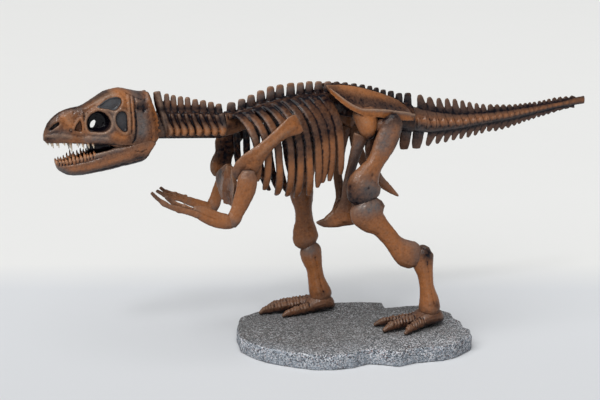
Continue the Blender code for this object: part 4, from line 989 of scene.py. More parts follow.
class STATUE_OT_skull(bpy.types.Operator):
    """Make the skull with its openings, ridges and upper teeth"""
    bl_idname = "statue.skull"
    bl_label = "Skull"

    def execute(self, context):
        outline = closed_curve([(0.0, 1.0), *SKULL_SIDE, (0.0, -1.0)]
            + [(-out, up) for out, up in SKULL_SIDE[::-1]], 44)
        head = draw_sections("skull_cast",
            [self.section(row, outline) for row in finer(SKULL_SECTIONS, 0.006)])
        carve(head, [self.opening(name, *SKULL_OPENINGS[name][:2], side) for name in SKULL_OPENINGS
            for side in (LEFT, RIGHT)])
        line = closed_curve(EYE_SLIT, 16)
        run, drop = SLIT_SLANT
        carve(head,
            [draw_sections("slit", [[(x + run * y, y, z + drop * y) for x, z in line]
            for y in (-0.03, 0.03)])])
        head = cast("skull_cast", [head, draw_bone("throat", THROAT)], sizes().head_grain, 3)
        strokes = list(SKULL_STROKES)
        for name in SKULL_OPENINGS:
            line, middle = opening_line(name)
            grow = 1.0 + RIM_GAP / np.linalg.norm(line - middle, axis=1)[:, None]
            line = middle + (line - middle) * grow
            height = EYE_RIM[0] * (1.0 if name in ("eye", "cheek") else SMALL_RIM)
            strokes.append((height, EYE_RIM[1], np.vstack((line, line[:1]))))
        ridge(head, strokes)
        ridge(head, ((-0.0022, 0.0042, (NOSTRIL_BEAD,)), (0.0046, 0.0019, (NOSTRIL_BEAD,))))
        cast_skin(head)
        paint(head, (0.22, 0.0, 0.1, 0.05), (), SKULL_SPRAYS)
        self.fill_openings(head)
        hand_over(head, "skull", brown_bone())
        row_of_teeth("upper_teeth", UPPER_TEETH, True, self.tooth_place)
        return {"FINISHED"}

    def section(self, row, outline):
        """One section of the skull; its bottom lies behind its top and is tucked forward."""
        x, roof, edge, half_top, half_low, lean = row
        ring = []
        for out, up in outline:
            up = max(min(up, 1.0), -1.0)
            share = (1 - up) / 2
            width = half_top + (half_low - half_top) * share
            tuck = lean * 5.8 * max(share - 0.71, 0.0) ** 1.4
            ring.append((x + lean * share - tuck, out * width, (roof + edge) / 2
                + (roof - edge) / 2 * up))
        return ring

    def tooth_place(self, x, length):
        _, edge, _, half, _ = between(SKULL_SECTIONS, x)
        return (half - 0.0065, (x - 0.001, edge + 0.005), (x + 0.0015, edge - length),
            0.003 + 0.05 * length)

    def opening(self, name, depth, bottom, side):
        """A tapering plug that is cut out of the side wall."""
        line, middle = opening_line(name)
        wall = skull_half_width(*middle)
        return draw_sections(name,
            [[(x, side * (wall + out), z) for x, z in middle + (line - middle) * share]
            for out, share in ((0.03, 1.1), (0.004, 1.0), (-depth * 0.75, bottom + 0.06),
            (-depth, bottom * 0.82))])

    def fill_openings(self, head):
        """Paint the floors of the recesses: black in the eyes, cool grey in the windows; the
        recess walls and the throat get painted shade.
        """
        spots = points_of(head)
        layers = paint_of(head)
        out = np.abs(spots[:, 1])
        for name, (depth, _, _) in SKULL_OPENINGS.items():
            line, middle = opening_line(name)
            wall = skull_half_width(*middle)
            reach = np.linalg.norm(line - middle, axis=1)
            angles = np.arctan2(line[:, 1] - middle[1], line[:, 0] - middle[0])
            order = np.argsort(angles)
            away = spots[:, (0, 2)] - middle
            limit = np.interp(np.arctan2(away[:, 1], away[:, 0]), angles[order], reach[order],
                period=2 * math.pi)
            share = np.linalg.norm(away, axis=1) / limit
            chosen = (share < 1.08) & (out < wall - depth * 0.45) & (out > wall - depth - 0.02)
            layers[chosen] = RECESS_PAINT[name]
            # painted shade: the walls of each recess are darkened
            edge = (share < 1.05) & ~chosen & (out < wall - 0.001) & (out > wall - depth)
            layers[edge, DARK_WASH_AND_SHADE] = np.maximum(layers[edge, DARK_WASH_AND_SHADE], 0.85)
        # painted shade: the throat under the palate is painted black
        layers[(spots[:, 2] < 0.7355) & (out < 0.045)] = (0.0, 1.0, 0.0, 0.0)
        set_paint(head, layers)


# x, gum z, lower edge z, half width
JAW_SECTIONS = metres(((-977, 689, 683, 8), (-970, 688.5, 664, 16), (-955, 688.5, 650.5, 21),
    (-930, 692, 642, 27), (-895, 700, 641, 33), (-856, 711, 646, 41), (-810, 722.5, 653, 50),
    (-795, 729, 656, 53), (-770, 733, 662, 58), (-745, 737, 666, 62), (-730, 743, 669, 63),
    (-704, 750, 676, 62.5), (-684, 752, 701, 60.5), (-668, 750, 726, 56)))
TROUGH_FRONT_X = -0.958      # ends of the hollow between the two sides of the jaw
TROUGH_REAR_X = -0.745
JAW_SIDE = ((0.85, 1.0), (1.0, 0.55), (1.0, -0.3), (0.72, -0.85), (0.3, -1.0))
# x and tip z of each lower tooth
LOWER_TEETH = metres(((-971.5, 694.5), (-961.5, 696.5), (-952.5, 695.5), (-943.5, 699.5),
    (-932.5, 705.5), (-922, 713), (-910.5, 707.5), (-899, 710.5), (-887.5, 715.5), (-878, 712),
    (-869, 714), (-858, 718)))
JAW_STROKES = metres(
    ((2, 5, ((-968, 684), (-930, 688), (-895, 696), (-856, 706), (-812, 717), (-765, 724))),
    (-1.8, 3, ((-955, 678), (-920, 680), (-880, 688), (-840, 699))),
    (1.8, 9, ((-930, 661), (-880, 664), (-820, 680), (-770, 694))),
    (-1.6, 4, ((-880, 650), (-820, 664), (-760, 680), (-715, 692))),
    (2.6, 8, ((-705, 690), (-688, 705), (-676, 728))),
    (-1.6, 3, ((-735, 716), (-715, 712), (-700, 718)))))
JAW_SPRAYS = coats(
    ((ORANGE, 0.65, 14, ((-930, 664), (-880, 668), (-820, 684), (-760, 703), (-715, 717))),
    (ORANGE, 0.95, 12, ((-690, 716), (-678, 730))),
    (SMOKE, 0.85, 10, ((-968, 668), (-940, 648), (-895, 645), (-856, 650), (-810, 657),
    (-770, 666), (-730, 674), (-704, 682))),
    (DARK_WASH_AND_SHADE, 0.5, 6, ((-955, 648), (-930, 640), (-895, 639), (-856, 644), (-810, 651), (-770, 660),
    (-730, 667), (-704, 674))), (DARK_WASH_AND_SHADE, 0.45, 12, ((-735, 700), (-716, 694))),
    (WORN_AND_HIGHLIGHT, 0.45, 6, ((-900, 697), (-856, 708), (-812, 718))),
    (SMOKE, 0.5, 8, ((-868, 704), (-820, 716), (-780, 724))),
    (ORANGE, 0.95, 8, ((-965, 680), (-930, 685), (-895, 694), (-870, 702)))))


class STATUE_OT_lower_jaw(bpy.types.Operator):
    """Make the open lower jaw with its row of teeth"""
    bl_idname = "statue.lower_jaw"
    bl_label = "Lower jaw"

    def execute(self, context):
        outline = closed_curve(JAW_SIDE + tuple((-out, up) for out, up in JAW_SIDE[::-1]), 36)
        jaw = draw_sections("jaw_cast",
            [[(x, half * out, (gum + low) / 2 + (gum - low) / 2 * max(min(up, 1.0), -1.0))
            for out, up in outline] for x, gum, low, half in finer(JAW_SECTIONS, 0.006)])
        trough = []
        for x in np.linspace(TROUGH_FRONT_X, TROUGH_REAR_X, 14):
            gum, low, half = between(JAW_SECTIONS, x)
            inner = half - 0.01
            floor = low + 0.012
            wall = ((inner * 0.7, floor), (inner, floor + 0.012), (inner, gum + 0.02))
            trough.append([(x, y, z) for y, z in wall] + [(x, -y, z) for y, z in wall[::-1]])
        carve(jaw, [draw_sections("trough", trough)])
        jaw = cast("jaw_cast", [jaw], sizes().head_grain, 3)
        ridge(jaw, JAW_STROKES)
        marks = []
        for x in midpoints(LOWER_TEETH):
            gum = between(JAW_SECTIONS, x)[0]
            marks.append(((x + 0.001, gum + 0.001), (x, gum - 0.012)))
        ridge(jaw, [(-0.0024, 0.0018, mark) for mark in marks])
        cast_skin(jaw)
        paint(jaw, (0.25, 0.1, 0.25, 0.05), (), JAW_SPRAYS
            + [(DARK_WASH_AND_SHADE, 0.9, 0.0019, mark) for mark in marks])
        self.blacken_inside(jaw)
        hand_over(jaw, "lower_jaw", brown_bone())
        row_of_teeth("lower_teeth", LOWER_TEETH, False, self.tooth_place)
        return {"FINISHED"}

    def tooth_place(self, x, tip):
        gum, _, half = between(JAW_SECTIONS, x)
        return half - 0.0045, (x, gum - 0.008), (x - 0.0022, tip), 0.0046

    def blacken_inside(self, jaw):
        # painted shade: inside the jaw behind its front is painted nearly black
        spots = points_of(jaw)
        layers = paint_of(jaw)
        rows = np.array(JAW_SECTIONS)
        low, half = (np.interp(spots[:, 0], rows[:, 0], rows[:, column]) for column in (2, 3))
        inside = (np.abs(spots[:, 1]) < half - 0.0075) & (spots[:, 2] > low + 0.008)
        layers[inside & (spots[:, 0] > -0.955)] = (0.0, 0.95, 0.0, 0.0)
        set_paint(jaw, layers)


# ---------------------------------------------------------------- back bone
NECK_FRONT_X = -0.655
TRUNK_FRONT_X = -0.428
SACRUM_FRONT_X = -0.054
TAIL_FRONT_X = 0.236
TAIL_MIDDLE_X = 0.512
TAIL_END_X = 0.708
TAIL_TIP_X = 0.9
# x, underside z, top of the body z, half width of the body
COLUMN = metres(((-660, 742, 826, 26), (-610, 739, 823, 27), (-520, 734, 818, 27),
    (-440, 729, 809, 26), (-390, 738, 811, 18), (-330, 758, 826, 18), (-240, 782, 847, 18),
    (-150, 790, 855, 18), (-60, 784, 856, 18), (20, 764, 846, 22), (120, 738, 828, 26),
    (210, 706, 800, 28), (300, 694, 775, 27), (400, 700, 757, 22), (500, 712, 754, 18),
    (600, 722, 757, 14), (700, 738, 765, 10), (800, 755, 775, 7), (860, 758, 786, 7.5),
    (900, 761, 791, 8)))
# spines and chevrons: x of the tip, z of the tip
NECK_SPINES = metres(((-646, 891), (-616, 881), (-594, 875), (-571, 870), (-548, 866), (-523, 858),
    (-497, 853), (-471, 846), (-445, 839)))
TRUNK_SPINES = metres(((-402.5, 841), (-367, 850), (-335.5, 861.5), (-302.5, 874), (-269, 886),
    (-236.5, 890), (-200, 893.5), (-166, 893), (-135, 895.5), (-103, 893.5), (-70, 891.5)))
SACRAL_SPINES = metres(((-40, 889), (-10, 885), (22, 880), (52, 875), (79, 869), (103, 862),
    (128, 854), (156, 848), (186, 839), (218, 838)))
TAIL_SPINES = metres(((262, 829), (298, 819), (333, 814), (364, 811), (393, 808), (422, 801),
    (449, 794), (476, 788), (501, 784), (528, 781), (554, 779), (578, 777), (602, 776), (625, 776),
    (645, 777), (664, 778), (682, 779), (700, 780), (720, 782), (738, 784), (757, 787), (778, 790),
    (800, 791), (822, 791), (845, 791)))
BROAD_CHEVRONS = metres(((209.5, 640), (255.5, 640)))
TAIL_CHEVRONS = metres(((298, 650), (333, 655), (364, 658), (393, 663), (422, 666), (449, 669),
    (476, 674), (501, 680), (528, 685), (554, 685), (578, 689), (602, 693), (625, 699), (645, 704),
    (664, 710), (682, 714), (700, 719), (720, 724), (738, 727), (757, 732), (778, 738), (800, 745),
    (822, 751), (845, 756)))
LENGTH_GAP = 0.0002          # gap between the lengths of the back bone
TAIL_OVERLAP = 0.005         # how far one length of the tail reaches into the next
NEIGHBOUR_REACH = 0.03       # blades this far ahead of a length still cover its front
NEIGHBOUR_HEIGHT = 0.45      # and this share of their height
LAST_KNOB_X = -0.436
FIRST_HIP_SPOOL_X = 0.15
# how spines and chevrons grow: where on the body and how far up it the root lies, the root's
# place behind and the tip's before the vertebra, length on the first and later lengths, width
SPINE_SHAPE = (1.0, -0.22, 0.4, 0.04, 1.2, 1.44, 0.62)
CHEVRON_SHAPE = (0.0, 0.22, 0.62, 0.12, 1.16, 1.4, 0.55)
NECK_SPRAYS = coats(((SMOKE, 0.4, 12, ((-640, 880), (-634, 840), (-630, 760))),
    (ORANGE, -0.7, 15, ((-640, 880), (-634, 840), (-630, 760))),
    (WORN_AND_HIGHLIGHT, 0.45, 9, ((-640, 870), (-634, 830), (-632, 762))),
    (SMOKE, 0.75, 14, ((-438, 798), (-432, 780))), (ORANGE, 0.8, 11, ((-434, 756), (-430, 748)))))
SACRUM_SPRAYS = coats(((DARK_WASH_AND_SHADE, -0.35, 26, ((215, 720), (232, 670))),
    (DARK_WASH_AND_SHADE, -0.4, 22, ((200, 665), (198, 625))), (SMOKE, 0.85, 20, ((195, 720), (232, 700)))))
TAIL_ROOT_SPRAYS = coats(((SMOKE, 0.8, 20, ((236, 712), (262, 704))),
    (DARK_WASH_AND_SHADE, 0.6, 12, ((240, 690), (262, 680))), (DARK_WASH_AND_SHADE, 0.5, 16, ((226, 790), (226, 670)))))


def spacing(table, x):
    """Distance from the spine at x to its nearest neighbour."""
    return min(abs(x - other[0]) for other in table if abs(other[0] - x) > 0.001)


def back_core(name, front, rear, shares):
    """Continuous body of the back bone.  The shares narrow its width, roof and floor."""
    wide, roof, floor = shares
    rings = []
    for x in np.linspace(front, rear, max(int((rear - front) / 0.006), 4)):
        low, top, half = between(COLUMN, x)
        tall = top - low
        profile = ((half * wide, low + tall * 0.62),
            (half * 0.62 * wide, low + tall * roof * 0.92), (half * 0.22, low + tall * roof),
            (-half * 0.22, low + tall * roof), (-half * 0.62 * wide, low + tall * roof * 0.92),
            (-half * wide, low + tall * 0.62), (-half * wide, low + tall * 0.3),
            (-half * 0.45, low + tall * floor), (half * 0.45, low + tall * floor),
            (half * wide, low + tall * 0.3))
        rings.append([(x, y, z) for y, z in closed_curve(profile, 24)])
    return draw_sections(name, rings)


def master_plate():
    """A rounded plate one unit long, wide and high, to be copied for each spine."""
    rows = ((0, 0, 0.0, 1.0, 1.0), (0, 0, 0.3, 0.97, 0.92), (0, 0, 0.7, 0.86, 0.8),
        (0, 0, 0.88, 0.78, 0.72), (0, 0, 0.955, 0.68, 0.6), (0, 0, 0.99, 0.5, 0.44))
    return draw_bone("plate", rows, sides=16, step=0.08, dome=0.04, fit=1.0)


def master_blade():
    """A tapering blade one unit long, wide and high, for the spines and chevrons of the tail."""
    rows = ((0, 0, 0.0, 1.0, 1.0), (0, 0, 0.3, 0.86, 0.86), (0, 0, 0.65, 0.64, 0.7),
        (0, 0, 0.9, 0.46, 0.55), (0, 0, 0.97, 0.34, 0.42), (0, 0, 0.995, 0.2, 0.26))
    return draw_bone("blade", rows, sides=14, step=0.08, dome=0.04, fit=1.0)


def master_spool():
    """A vertebra body one unit long with flared rims, lying along X."""
    rows = ((-0.47, 0, 0, 0.9, 0.9), (-0.42, 0, 0, 1.0, 1.0), (-0.3, 0, 0, 0.94, 0.94),
        (0.0, 0, 0, 0.8, 0.82), (0.3, 0, 0, 0.94, 0.94), (0.42, 0, 0, 1.0, 1.0),
        (0.47, 0, 0, 0.9, 0.9))
    return draw_bone("spool", rows, sides=18, step=0.08, dome=0.02, fit=1.0)


def stand_plate(master, root_x, root_z, tip, length, thick):
    """Copy a plate so that it stands on the back bone at its root and ends at its tip."""
    run = (tip[0] - root_x, tip[1] - root_z)
    return copy_part(master, (root_x, 0.0, root_z), (length, thick, math.hypot(*run)),
        math.atan2(*run))


def neck_leaf(x, low, top, half, space, side):
    """Overlapping side of a neck vertebra: it slants back and down and ends in a square block."""
    tall = top - low
    rows = ((x - space * 0.48, side * half * 0.5, low + tall * 0.93, space * 0.46, 0.012),
        (x - space * 0.34, side * half * 0.7, low + tall * 0.76, space * 0.58, 0.014),
        (x - space * 0.12, side * half * 0.78, low + tall * 0.58, space * 0.62, 0.015),
        (x + space * 0.1, side * half * 0.86, low + tall * 0.42, space * 0.84, 0.022),
        (x + space * 0.22, side * half * 0.9, low + tall * 0.28, space * 0.98, 0.028),
        (x + space * 0.14, side * half * 0.84, low + tall * 0.13, space * 0.8, 0.02))
    return draw_bone("leaf", rows, sides=14, step=0.006, dome=0.15)


def flank_line(front, rear, share, raised=0.0):
    """A line along the back bone at a share of its height, or raised over that."""
    line = []
    for x in np.linspace(front, rear, 14):
        low, top, _ = between(COLUMN, x)
        line.append((x, low + (top - low) * share + raised))
    return line


def cast_column(name, parts, front, rear, grain, pitting=0.8, lumps=0.008):
    """Cast one length of the back bone with flat ends."""
    piece = cast(name, parts, grain, 2)
    keep_between(piece, front, rear)
    roughen(piece, sizes().bone_pitting * pitting, lumps)
    return piece


def drop(*masters):
    for master in masters:
        bpy.data.objects.remove(master)


class STATUE_OT_neck(bpy.types.Operator):
    """Make the neck: nine vertebrae with plates above and slanted bars on the sides"""
    bl_idname = "statue.neck"
    bl_label = "Neck"

    def execute(self, context):
        front, rear = NECK_FRONT_X - 0.007, TRUNK_FRONT_X - LENGTH_GAP
        parts = [back_core("neck_core", front, rear, (0.66, 0.97, 0.0)), self.first_plate()]
        plate = master_plate()
        for x, tip in NECK_SPINES[1:]:
            low, top, half = between(COLUMN, x)
            space = spacing(NECK_SPINES, x)
            parts.append(stand_plate(plate, x + 0.002, top - 0.01, (x, tip), space * 0.98, 0.015))
            for side in (LEFT, RIGHT):
                parts.append(neck_leaf(x, low, top, half, space, side))
        drop(plate)
        x = LAST_KNOB_X
        low, top, half = between(COLUMN, x)
        for side in (LEFT, RIGHT):
            parts.append(draw_bone("knob",
                ((x - 0.006, side * half * 0.7, top - 0.002, 0.018, 0.014),
                (x + 0.001, side * half * 0.95, low + 0.048, 0.018, 0.014),
                (x + 0.004, side * half * 0.95, low + 0.022, 0.02, 0.014)), sides=12))
        piece = cast_column("neck_cast", parts, front, rear, sizes().bone_grain)
        sprays = [(DARK_WASH_AND_SHADE, 0.85, 0.012, flank_line(front, rear, 1.12)),
            (DARK_WASH_AND_SHADE, 0.85, 0.02, flank_line(front + 0.05, rear, 0.74)),
            (ORANGE, 1.0, 0.012, flank_line(front + 0.03, rear, 0.26)),
            (DARK_WASH_AND_SHADE, -0.9, 0.011, flank_line(front + 0.03, rear, 0.24)),
            (DARK_WASH_AND_SHADE, 0.9, 0.0075, flank_line(front, rear, 0.0)), *NECK_SPRAYS,
            *((SMOKE, 0.45, 0.01, ((x, tip - 0.014),)) for x, tip in NECK_SPINES[1:])]
        paint(piece, (0.3, 0.0, 0.12, 0.1), (), sprays, wash_and_shade=1.35)
        hand_over(piece, "neck", brown_bone())
        return {"FINISHED"}

    def first_plate(self):
        """The broad first vertebra, which fits the back of the skull."""
        x, tip = NECK_SPINES[0]
        low, top, _ = between(COLUMN, x)
        return draw_bone("first_plate", ((x + 0.03, 0, low + 0.002, 0.026, 0.052),
            (x + 0.021, 0, low + 0.04, 0.027, 0.054), (x + 0.01, 0, top, 0.028, 0.044),
            (x + 0.002, 0, tip - 0.028, 0.029, 0.028), (x - 0.001, 0, tip - 0.003, 0.026, 0.018)),
            dome=0.12)


class STATUE_OT_back(bpy.types.Operator):
    """Make the trunk and hip parts of the back bone with their pegs"""
    bl_idname = "statue.back"
    bl_label = "Back bone"

    def execute(self, context):
        self.make_part("trunk_cast", "trunk_spine", TRUNK_FRONT_X, SACRUM_FRONT_X, TRUNK_SPINES,
            (), (0.4, 0.0, 0.1, 0.12), [])
        # the hip part is painted dark all over, as painted shade under the hip blades
        self.make_part("hip_back_cast", "sacrum", SACRUM_FRONT_X, TAIL_FRONT_X, SACRAL_SPINES,
            BROAD_CHEVRONS[:1], (0.3, 0.75, 0.05, 0.0), SACRUM_SPRAYS)
        return {"FINISHED"}

    def make_part(self, name, node, front, rear, spines, chevrons, ground, sprays):
        front, rear = front + LENGTH_GAP, rear - LENGTH_GAP
        parts = [back_core(name, front, rear, (0.94, 1.0, 0.03))]
        plate, spool = master_plate(), master_spool()
        for x, tip in spines:
            low, top, half = between(COLUMN, x)
            height, space = top - low, spacing(spines, x)
            parts.append(stand_plate(plate, x, top - 0.012, (x, tip), space * 0.99, 0.015))
            if x > FIRST_HIP_SPOOL_X:
                parts.append(copy_part(spool, (x, 0.0, low + height * 0.42),
                    (space * 0.98, half * 2.02, height * 0.62)))
        parts += [broad_chevron(x, tip) for x, tip in chevrons]
        drop(plate, spool)
        piece = cast_column(name, parts, front, rear, sizes().bone_grain)
        paint(piece, ground, (), [(SMOKE, 0.75, 0.012, flank_line(front, rear, 1.0, 0.022)),
            (DARK_WASH_AND_SHADE, 0.95, 0.016, flank_line(front, rear, 1.0, 0.006)),
            (DARK_WASH_AND_SHADE, 0.8, 0.016, flank_line(front, rear, 0.45)), *sprays],)
        hand_over(piece, node, grey_bone())


def broad_chevron(x, tip):
    low = between(COLUMN, x)[0]
    rows = ((x + 0.006, 0, low + 0.012, 0.046, 0.022), (x + 0.003, 0, low - 0.016, 0.044, 0.02),
        (x - 0.001, 0, tip + 0.018, 0.039, 0.017), (x - 0.002, 0, tip + 0.005, 0.031, 0.013))
    return draw_bone("broad_chevron", rows, sides=14, dome=0.2)


class STATUE_OT_tail(bpy.types.Operator):
    """Make the three lengths of the tail with their blades and chevrons"""
    bl_idname = "statue.tail"
    bl_label = "Tail"

    def execute(self, context):
        cuts = (TAIL_FRONT_X, TAIL_MIDDLE_X, TAIL_END_X, TAIL_TIP_X)
        for number, (front, rear) in enumerate(zip(cuts, cuts[1:])):
            self.make_length(number, front, rear + (TAIL_OVERLAP if rear < TAIL_TIP_X else 0.0))
        return {"FINISHED"}

    def make_length(self, number, front, rear):
        name = "tail_cast_%d" % (number + 1)
        parts = [back_core(name, front, rear, (0.72, 0.96, 0.06))]
        blade, spool = master_blade(), master_spool()
        for table, shape, spooled in ((TAIL_SPINES, SPINE_SHAPE, True),
                (TAIL_CHEVRONS, CHEVRON_SHAPE, False)):
            foot_share, root_share, back, ahead, broad, broader, thick = shape
            for x, tip in table:
                if not front - NEIGHBOUR_REACH < x < rear:
                    continue
                low, top, half = between(COLUMN, x)
                height = top - low
                foot = low + height * foot_share
                if x < front - TAIL_OVERLAP:
                    tip = foot + (tip - foot) * NEIGHBOUR_HEIGHT
                space = spacing(TAIL_SPINES, x)
                parts.append(stand_plate(blade, x + space * back, foot + height * root_share,
                    (x - space * ahead, tip), space * (broader if number else broad),
                    max(half * thick, 0.006)))
                if spooled:
                    parts.append(copy_part(spool, (x, 0.0, low + height * 0.45),
                        (space * 1.02, half * 2.04, height * 0.66)))
        if number == 0:
            parts.append(broad_chevron(*BROAD_CHEVRONS[1]))
        drop(blade, spool)
        piece = cast_column(name, parts, front, rear,
            min(sizes().bone_grain, 0.0024 - 0.0003 * number), 0.7, 0.007)
        sprays = [(DARK_WASH_AND_SHADE, 0.75, 0.011 - 0.003 * number, flank_line(front, rear, 1.06)),
            (ORANGE, 1.0, 0.015 - 0.004 * number, flank_line(front, rear, 0.55)),
            (DARK_WASH_AND_SHADE, -0.45 + 0.1 * number, 0.012 - 0.003 * number, flank_line(front, rear, 0.55)),
            (SMOKE, 0.85, 0.008 - 0.002 * number, flank_line(front, rear, 0.1)),
            (DARK_WASH_AND_SHADE, 0.6, 0.007 - 0.0015 * number, flank_line(front, rear, -0.06))]
        for mark in midpoints(TAIL_SPINES):
            if front < mark < rear:
                low, top, half = between(COLUMN, mark)
                sprays.append((DARK_WASH_AND_SHADE, 0.6 - 0.15 * number, 0.0018,
                    ((mark + half * 0.7, low + (top - low) * 0.25), (mark, top + 0.004))))
        if number == 0:
            sprays += TAIL_ROOT_SPRAYS
        paint(piece, (0.2, 0.36 + 0.08 * number, 0.3, 0.04), (), sprays, wash_and_shade=0.9)
        hand_over(piece, "tail_%d" % (number + 1), brown_bone())


# ---------------------------------------------------------------- ribs
# x of the head, x at the widest place, x of the tip, z of the tip, reach out from the mid-plane
RIBS = metres(((-402, -350, -347, 597, 113), (-370, -316, -315, 561, 113),
    (-338, -280, -263, 532, 113), (-307, -239, -228, 526, 113), (-275, -207, -198, 518, 113),
    (-243, -178, -159, 527, 113), (-211, -144, -136, 557, 108), (-179, -116.5, -120, 573, 103),
    (-148, -92, -95, 576, 98), (-116, -59, -56, 595, 92)))
RIB_WIDEST_Z = 0.672
RIB_BREADTH = 0.0252
RIB_THICKNESS = 0.0108
SPINE_HALF_WIDTH = 0.018
RAIL_FRONT_X = -0.421
RAIL_REAR_X = -0.075
# shares of its length from head to tip, and how broad or deep a rib is there
RIB_BREADTHS = ((0, 0.12, 0.3, 0.5, 0.72, 0.88, 0.96, 1.0), (1.25, 1.2, 1.06, 1.0, 1.06, 1.02, 0.8,
    0.55))
FRONT_RIB_BREADTHS = ((0.0, 0.3, 0.5), (1.0, 1.1, 1.0))
REAR_RIB_BREADTHS = ((0.0, 0.2, 0.44, 0.62), (1.1, 1.48, 1.42, 1.0))
RIB_DEPTHS = ((0, 0.15, 0.8, 1.0), (1.5, 1.1, 1.0, 0.7))


def rib_path(row, side, steps=24):
    """Centre line of one rib from head to tip, with the way it faces at each point."""
    head_x, widest_x, tip_x, tip_z, reach = row
    rise = between(COLUMN, head_x)[1] - 0.01 - RIB_WIDEST_Z + 0.006
    start = math.asin(SPINE_HALF_WIDTH * 1.2 / reach)
    end = math.acos(max((tip_z - RIB_WIDEST_Z) / rise, -0.95))
    path = []
    facing = []
    for step in range(steps + 1):
        angle = start + (end - start) * step / steps
        y = -reach * math.sin(angle)
        z = RIB_WIDEST_Z + rise * math.cos(angle)
        past = max(angle - math.pi / 2, 0.0) / (end - math.pi / 2)
        x = head_x + (widest_x - head_x) * math.sin(min(angle, math.pi / 2))
        path.append((x + (tip_x - widest_x) * past, y * -side, z))
        facing.append((0.0, y * -side, (z - RIB_WIDEST_Z) * 0.6))
    return np.array(path), np.array(facing)


class STATUE_OT_ribs(bpy.types.Operator):
    """Make the two sides of the rib cage"""
    bl_idname = "statue.ribs"
    bl_label = "Ribs"

    def execute(self, context):
        for side in (LEFT, RIGHT):
            self.make_side(side, "ribs_" + word(side))
        return {"FINISHED"}

    def make_side(self, side, node):
        parts = [self.rail(side)]
        sprays = []
        for index, row in enumerate(RIBS):
            path, facing = rib_path(row, side)
            shares = np.linspace(0.0, 1.0, len(path))
            breadth = RIB_BREADTH * np.interp(shares, *RIB_BREADTHS)
            breadth *= np.interp(shares, *(REAR_RIB_BREADTHS if index > 6 else FRONT_RIB_BREADTHS))
            depth = RIB_THICKNESS * np.interp(shares, *RIB_DEPTHS)
            parts.append(draw_bone("rib", np.column_stack((path, breadth, depth)), lateral=facing,
                sides=14, step=0.009, fit=1.0, dome=0.5))
            sprays += [(ORANGE, 0.85 if index < 6 else 0.4, 0.02, path[int(len(path) * 0.62)::3]),
                (ORANGE, 0.55 if index < 5 else 0.2, 0.02, path[4:9:2]),
                (DARK_WASH_AND_SHADE, 0.35 if index < 4 else 0.6, 0.022, path[3:13:3]),
                (SMOKE, 0.35, 0.012, path[9:12:2])]
        sprays.append((DARK_WASH_AND_SHADE, 1.0, 0.034, [rib_path(row, side)[0][1] for row in RIBS]))
        piece = cast(node + "_cast", parts, sizes().bone_grain, 2)
        spots = points_of(piece)
        column = np.array(COLUMN)
        halves = np.interp(spots[:, 0], column[:, 0], column[:, 3]) + 0.0003
        spots[:, 1] = np.where(side * spots[:, 1] < halves, side * halves, spots[:, 1])
        move_points(piece, spots)
        roughen(piece, sizes().bone_pitting * 0.8, 0.01)
        paint(piece, (0.35, 0.08, 0.1, 0.05), sprays)
        self.darken_inside(piece, side)
        hand_over(piece, node, brown_bone())

    def darken_inside(self, piece, side):
        # painted shade: faces turned in towards the body, and the front and back edges, are
        # darkened
        ways = normals_of(piece)
        layers = paint_of(piece)
        inward = np.clip(-side * ways[:, 1] * 1.5 + 0.1, 0.0, 1.0)
        edges = np.clip(np.abs(ways[:, 0]) * 1.6 - 0.4, 0.0, 1.0)
        layers[:, DARK_WASH_AND_SHADE] = np.clip(layers[:, DARK_WASH_AND_SHADE] + 0.85 * inward + 0.7 * edges, 0.0, 1.0)
        set_paint(piece, layers)

    def rail(self, side):
        """Ledge along the back bone that the ribs hang from."""
        inner, outer = side * (SPINE_HALF_WIDTH - 0.004), side * (SPINE_HALF_WIDTH + 0.014)
        rings = []
        for x in np.linspace(RAIL_FRONT_X, RAIL_REAR_X, 40):
            top = between(COLUMN, x)[1]
            rings.append([(x, y, top - drop) for y, drop in ((inner, 0.02), (outer * 0.9, 0.02),
                (outer, 0.012), (outer * 0.9, 0.004), (inner, 0.001))])
        return draw_sections("rail", rings)


# ---------------------------------------------------------------- shoulders, arms, chest
# x, y, z, breadth in side view, depth
SCAPULA = metres({LEFT: ((-216.5, -131, 785, 68, 8), (-226, -131, 780.5, 74, 10),
    (-242, -131, 774.5, 70, 13), (-264, -131.5, 763.5, 56, 15), (-300, -132, 738.5, 47, 17),
    (-345, -131, 700, 57, 19), (-382, -127, 664, 80, 24), (-408, -118, 638, 74, 26),
    (-428, -108, 624, 40, 18)), RIGHT: ((-212, 131, 788, 50, 8), (-226, 131, 780, 58, 10),
    (-260, 131, 760, 46, 12), (-300, 132, 735, 46, 14), (-345, 130, 712, 66, 18),
    (-378, 127, 684, 94, 22), (-392, 122, 648, 70, 26), (-406.5, 115, 612, 78, 24),
    (-414, 110, 590, 66, 18), (-417, 108, 576, 40, 14))})
HUMERUS = metres({LEFT: ((-392, -138.5, 640, 46, 34), (-394.5, -140, 620, 66, 42),
    (-400, -141, 585, 70, 40), (-415.5, -140, 545, 62, 35), (-432.5, -140, 508, 51, 33),
    (-443, -140, 487, 52, 36), (-450, -140, 470, 36, 28)),
    RIGHT: ((-380, 136, 612, 40, 34), (-384, 137, 592, 56, 40), (-392, 137, 560, 50, 36),
    (-405, 136, 528, 48, 32), (-419, 136, 495, 46, 32), (-428, 136, 470, 48, 36),
    (-433, 136, 452, 34, 28))})
FOREARM = metres({LEFT: ((-442, -138, 474, 34, 28), (-459, -138, 481, 50, 36),
    (-490, -137, 490, 56, 34), (-522, -136, 504, 54, 31), (-552, -135, 520, 46, 30),
    (-572, -135, 528, 34, 24)), RIGHT: ((-429, 134, 459, 30, 26), (-440, 134, 463, 40, 32),
    (-460, 133, 471, 38, 28), (-490, 132, 484, 34, 26), (-518, 131, 496, 30, 28),
    (-531, 131, 501, 22, 22))})
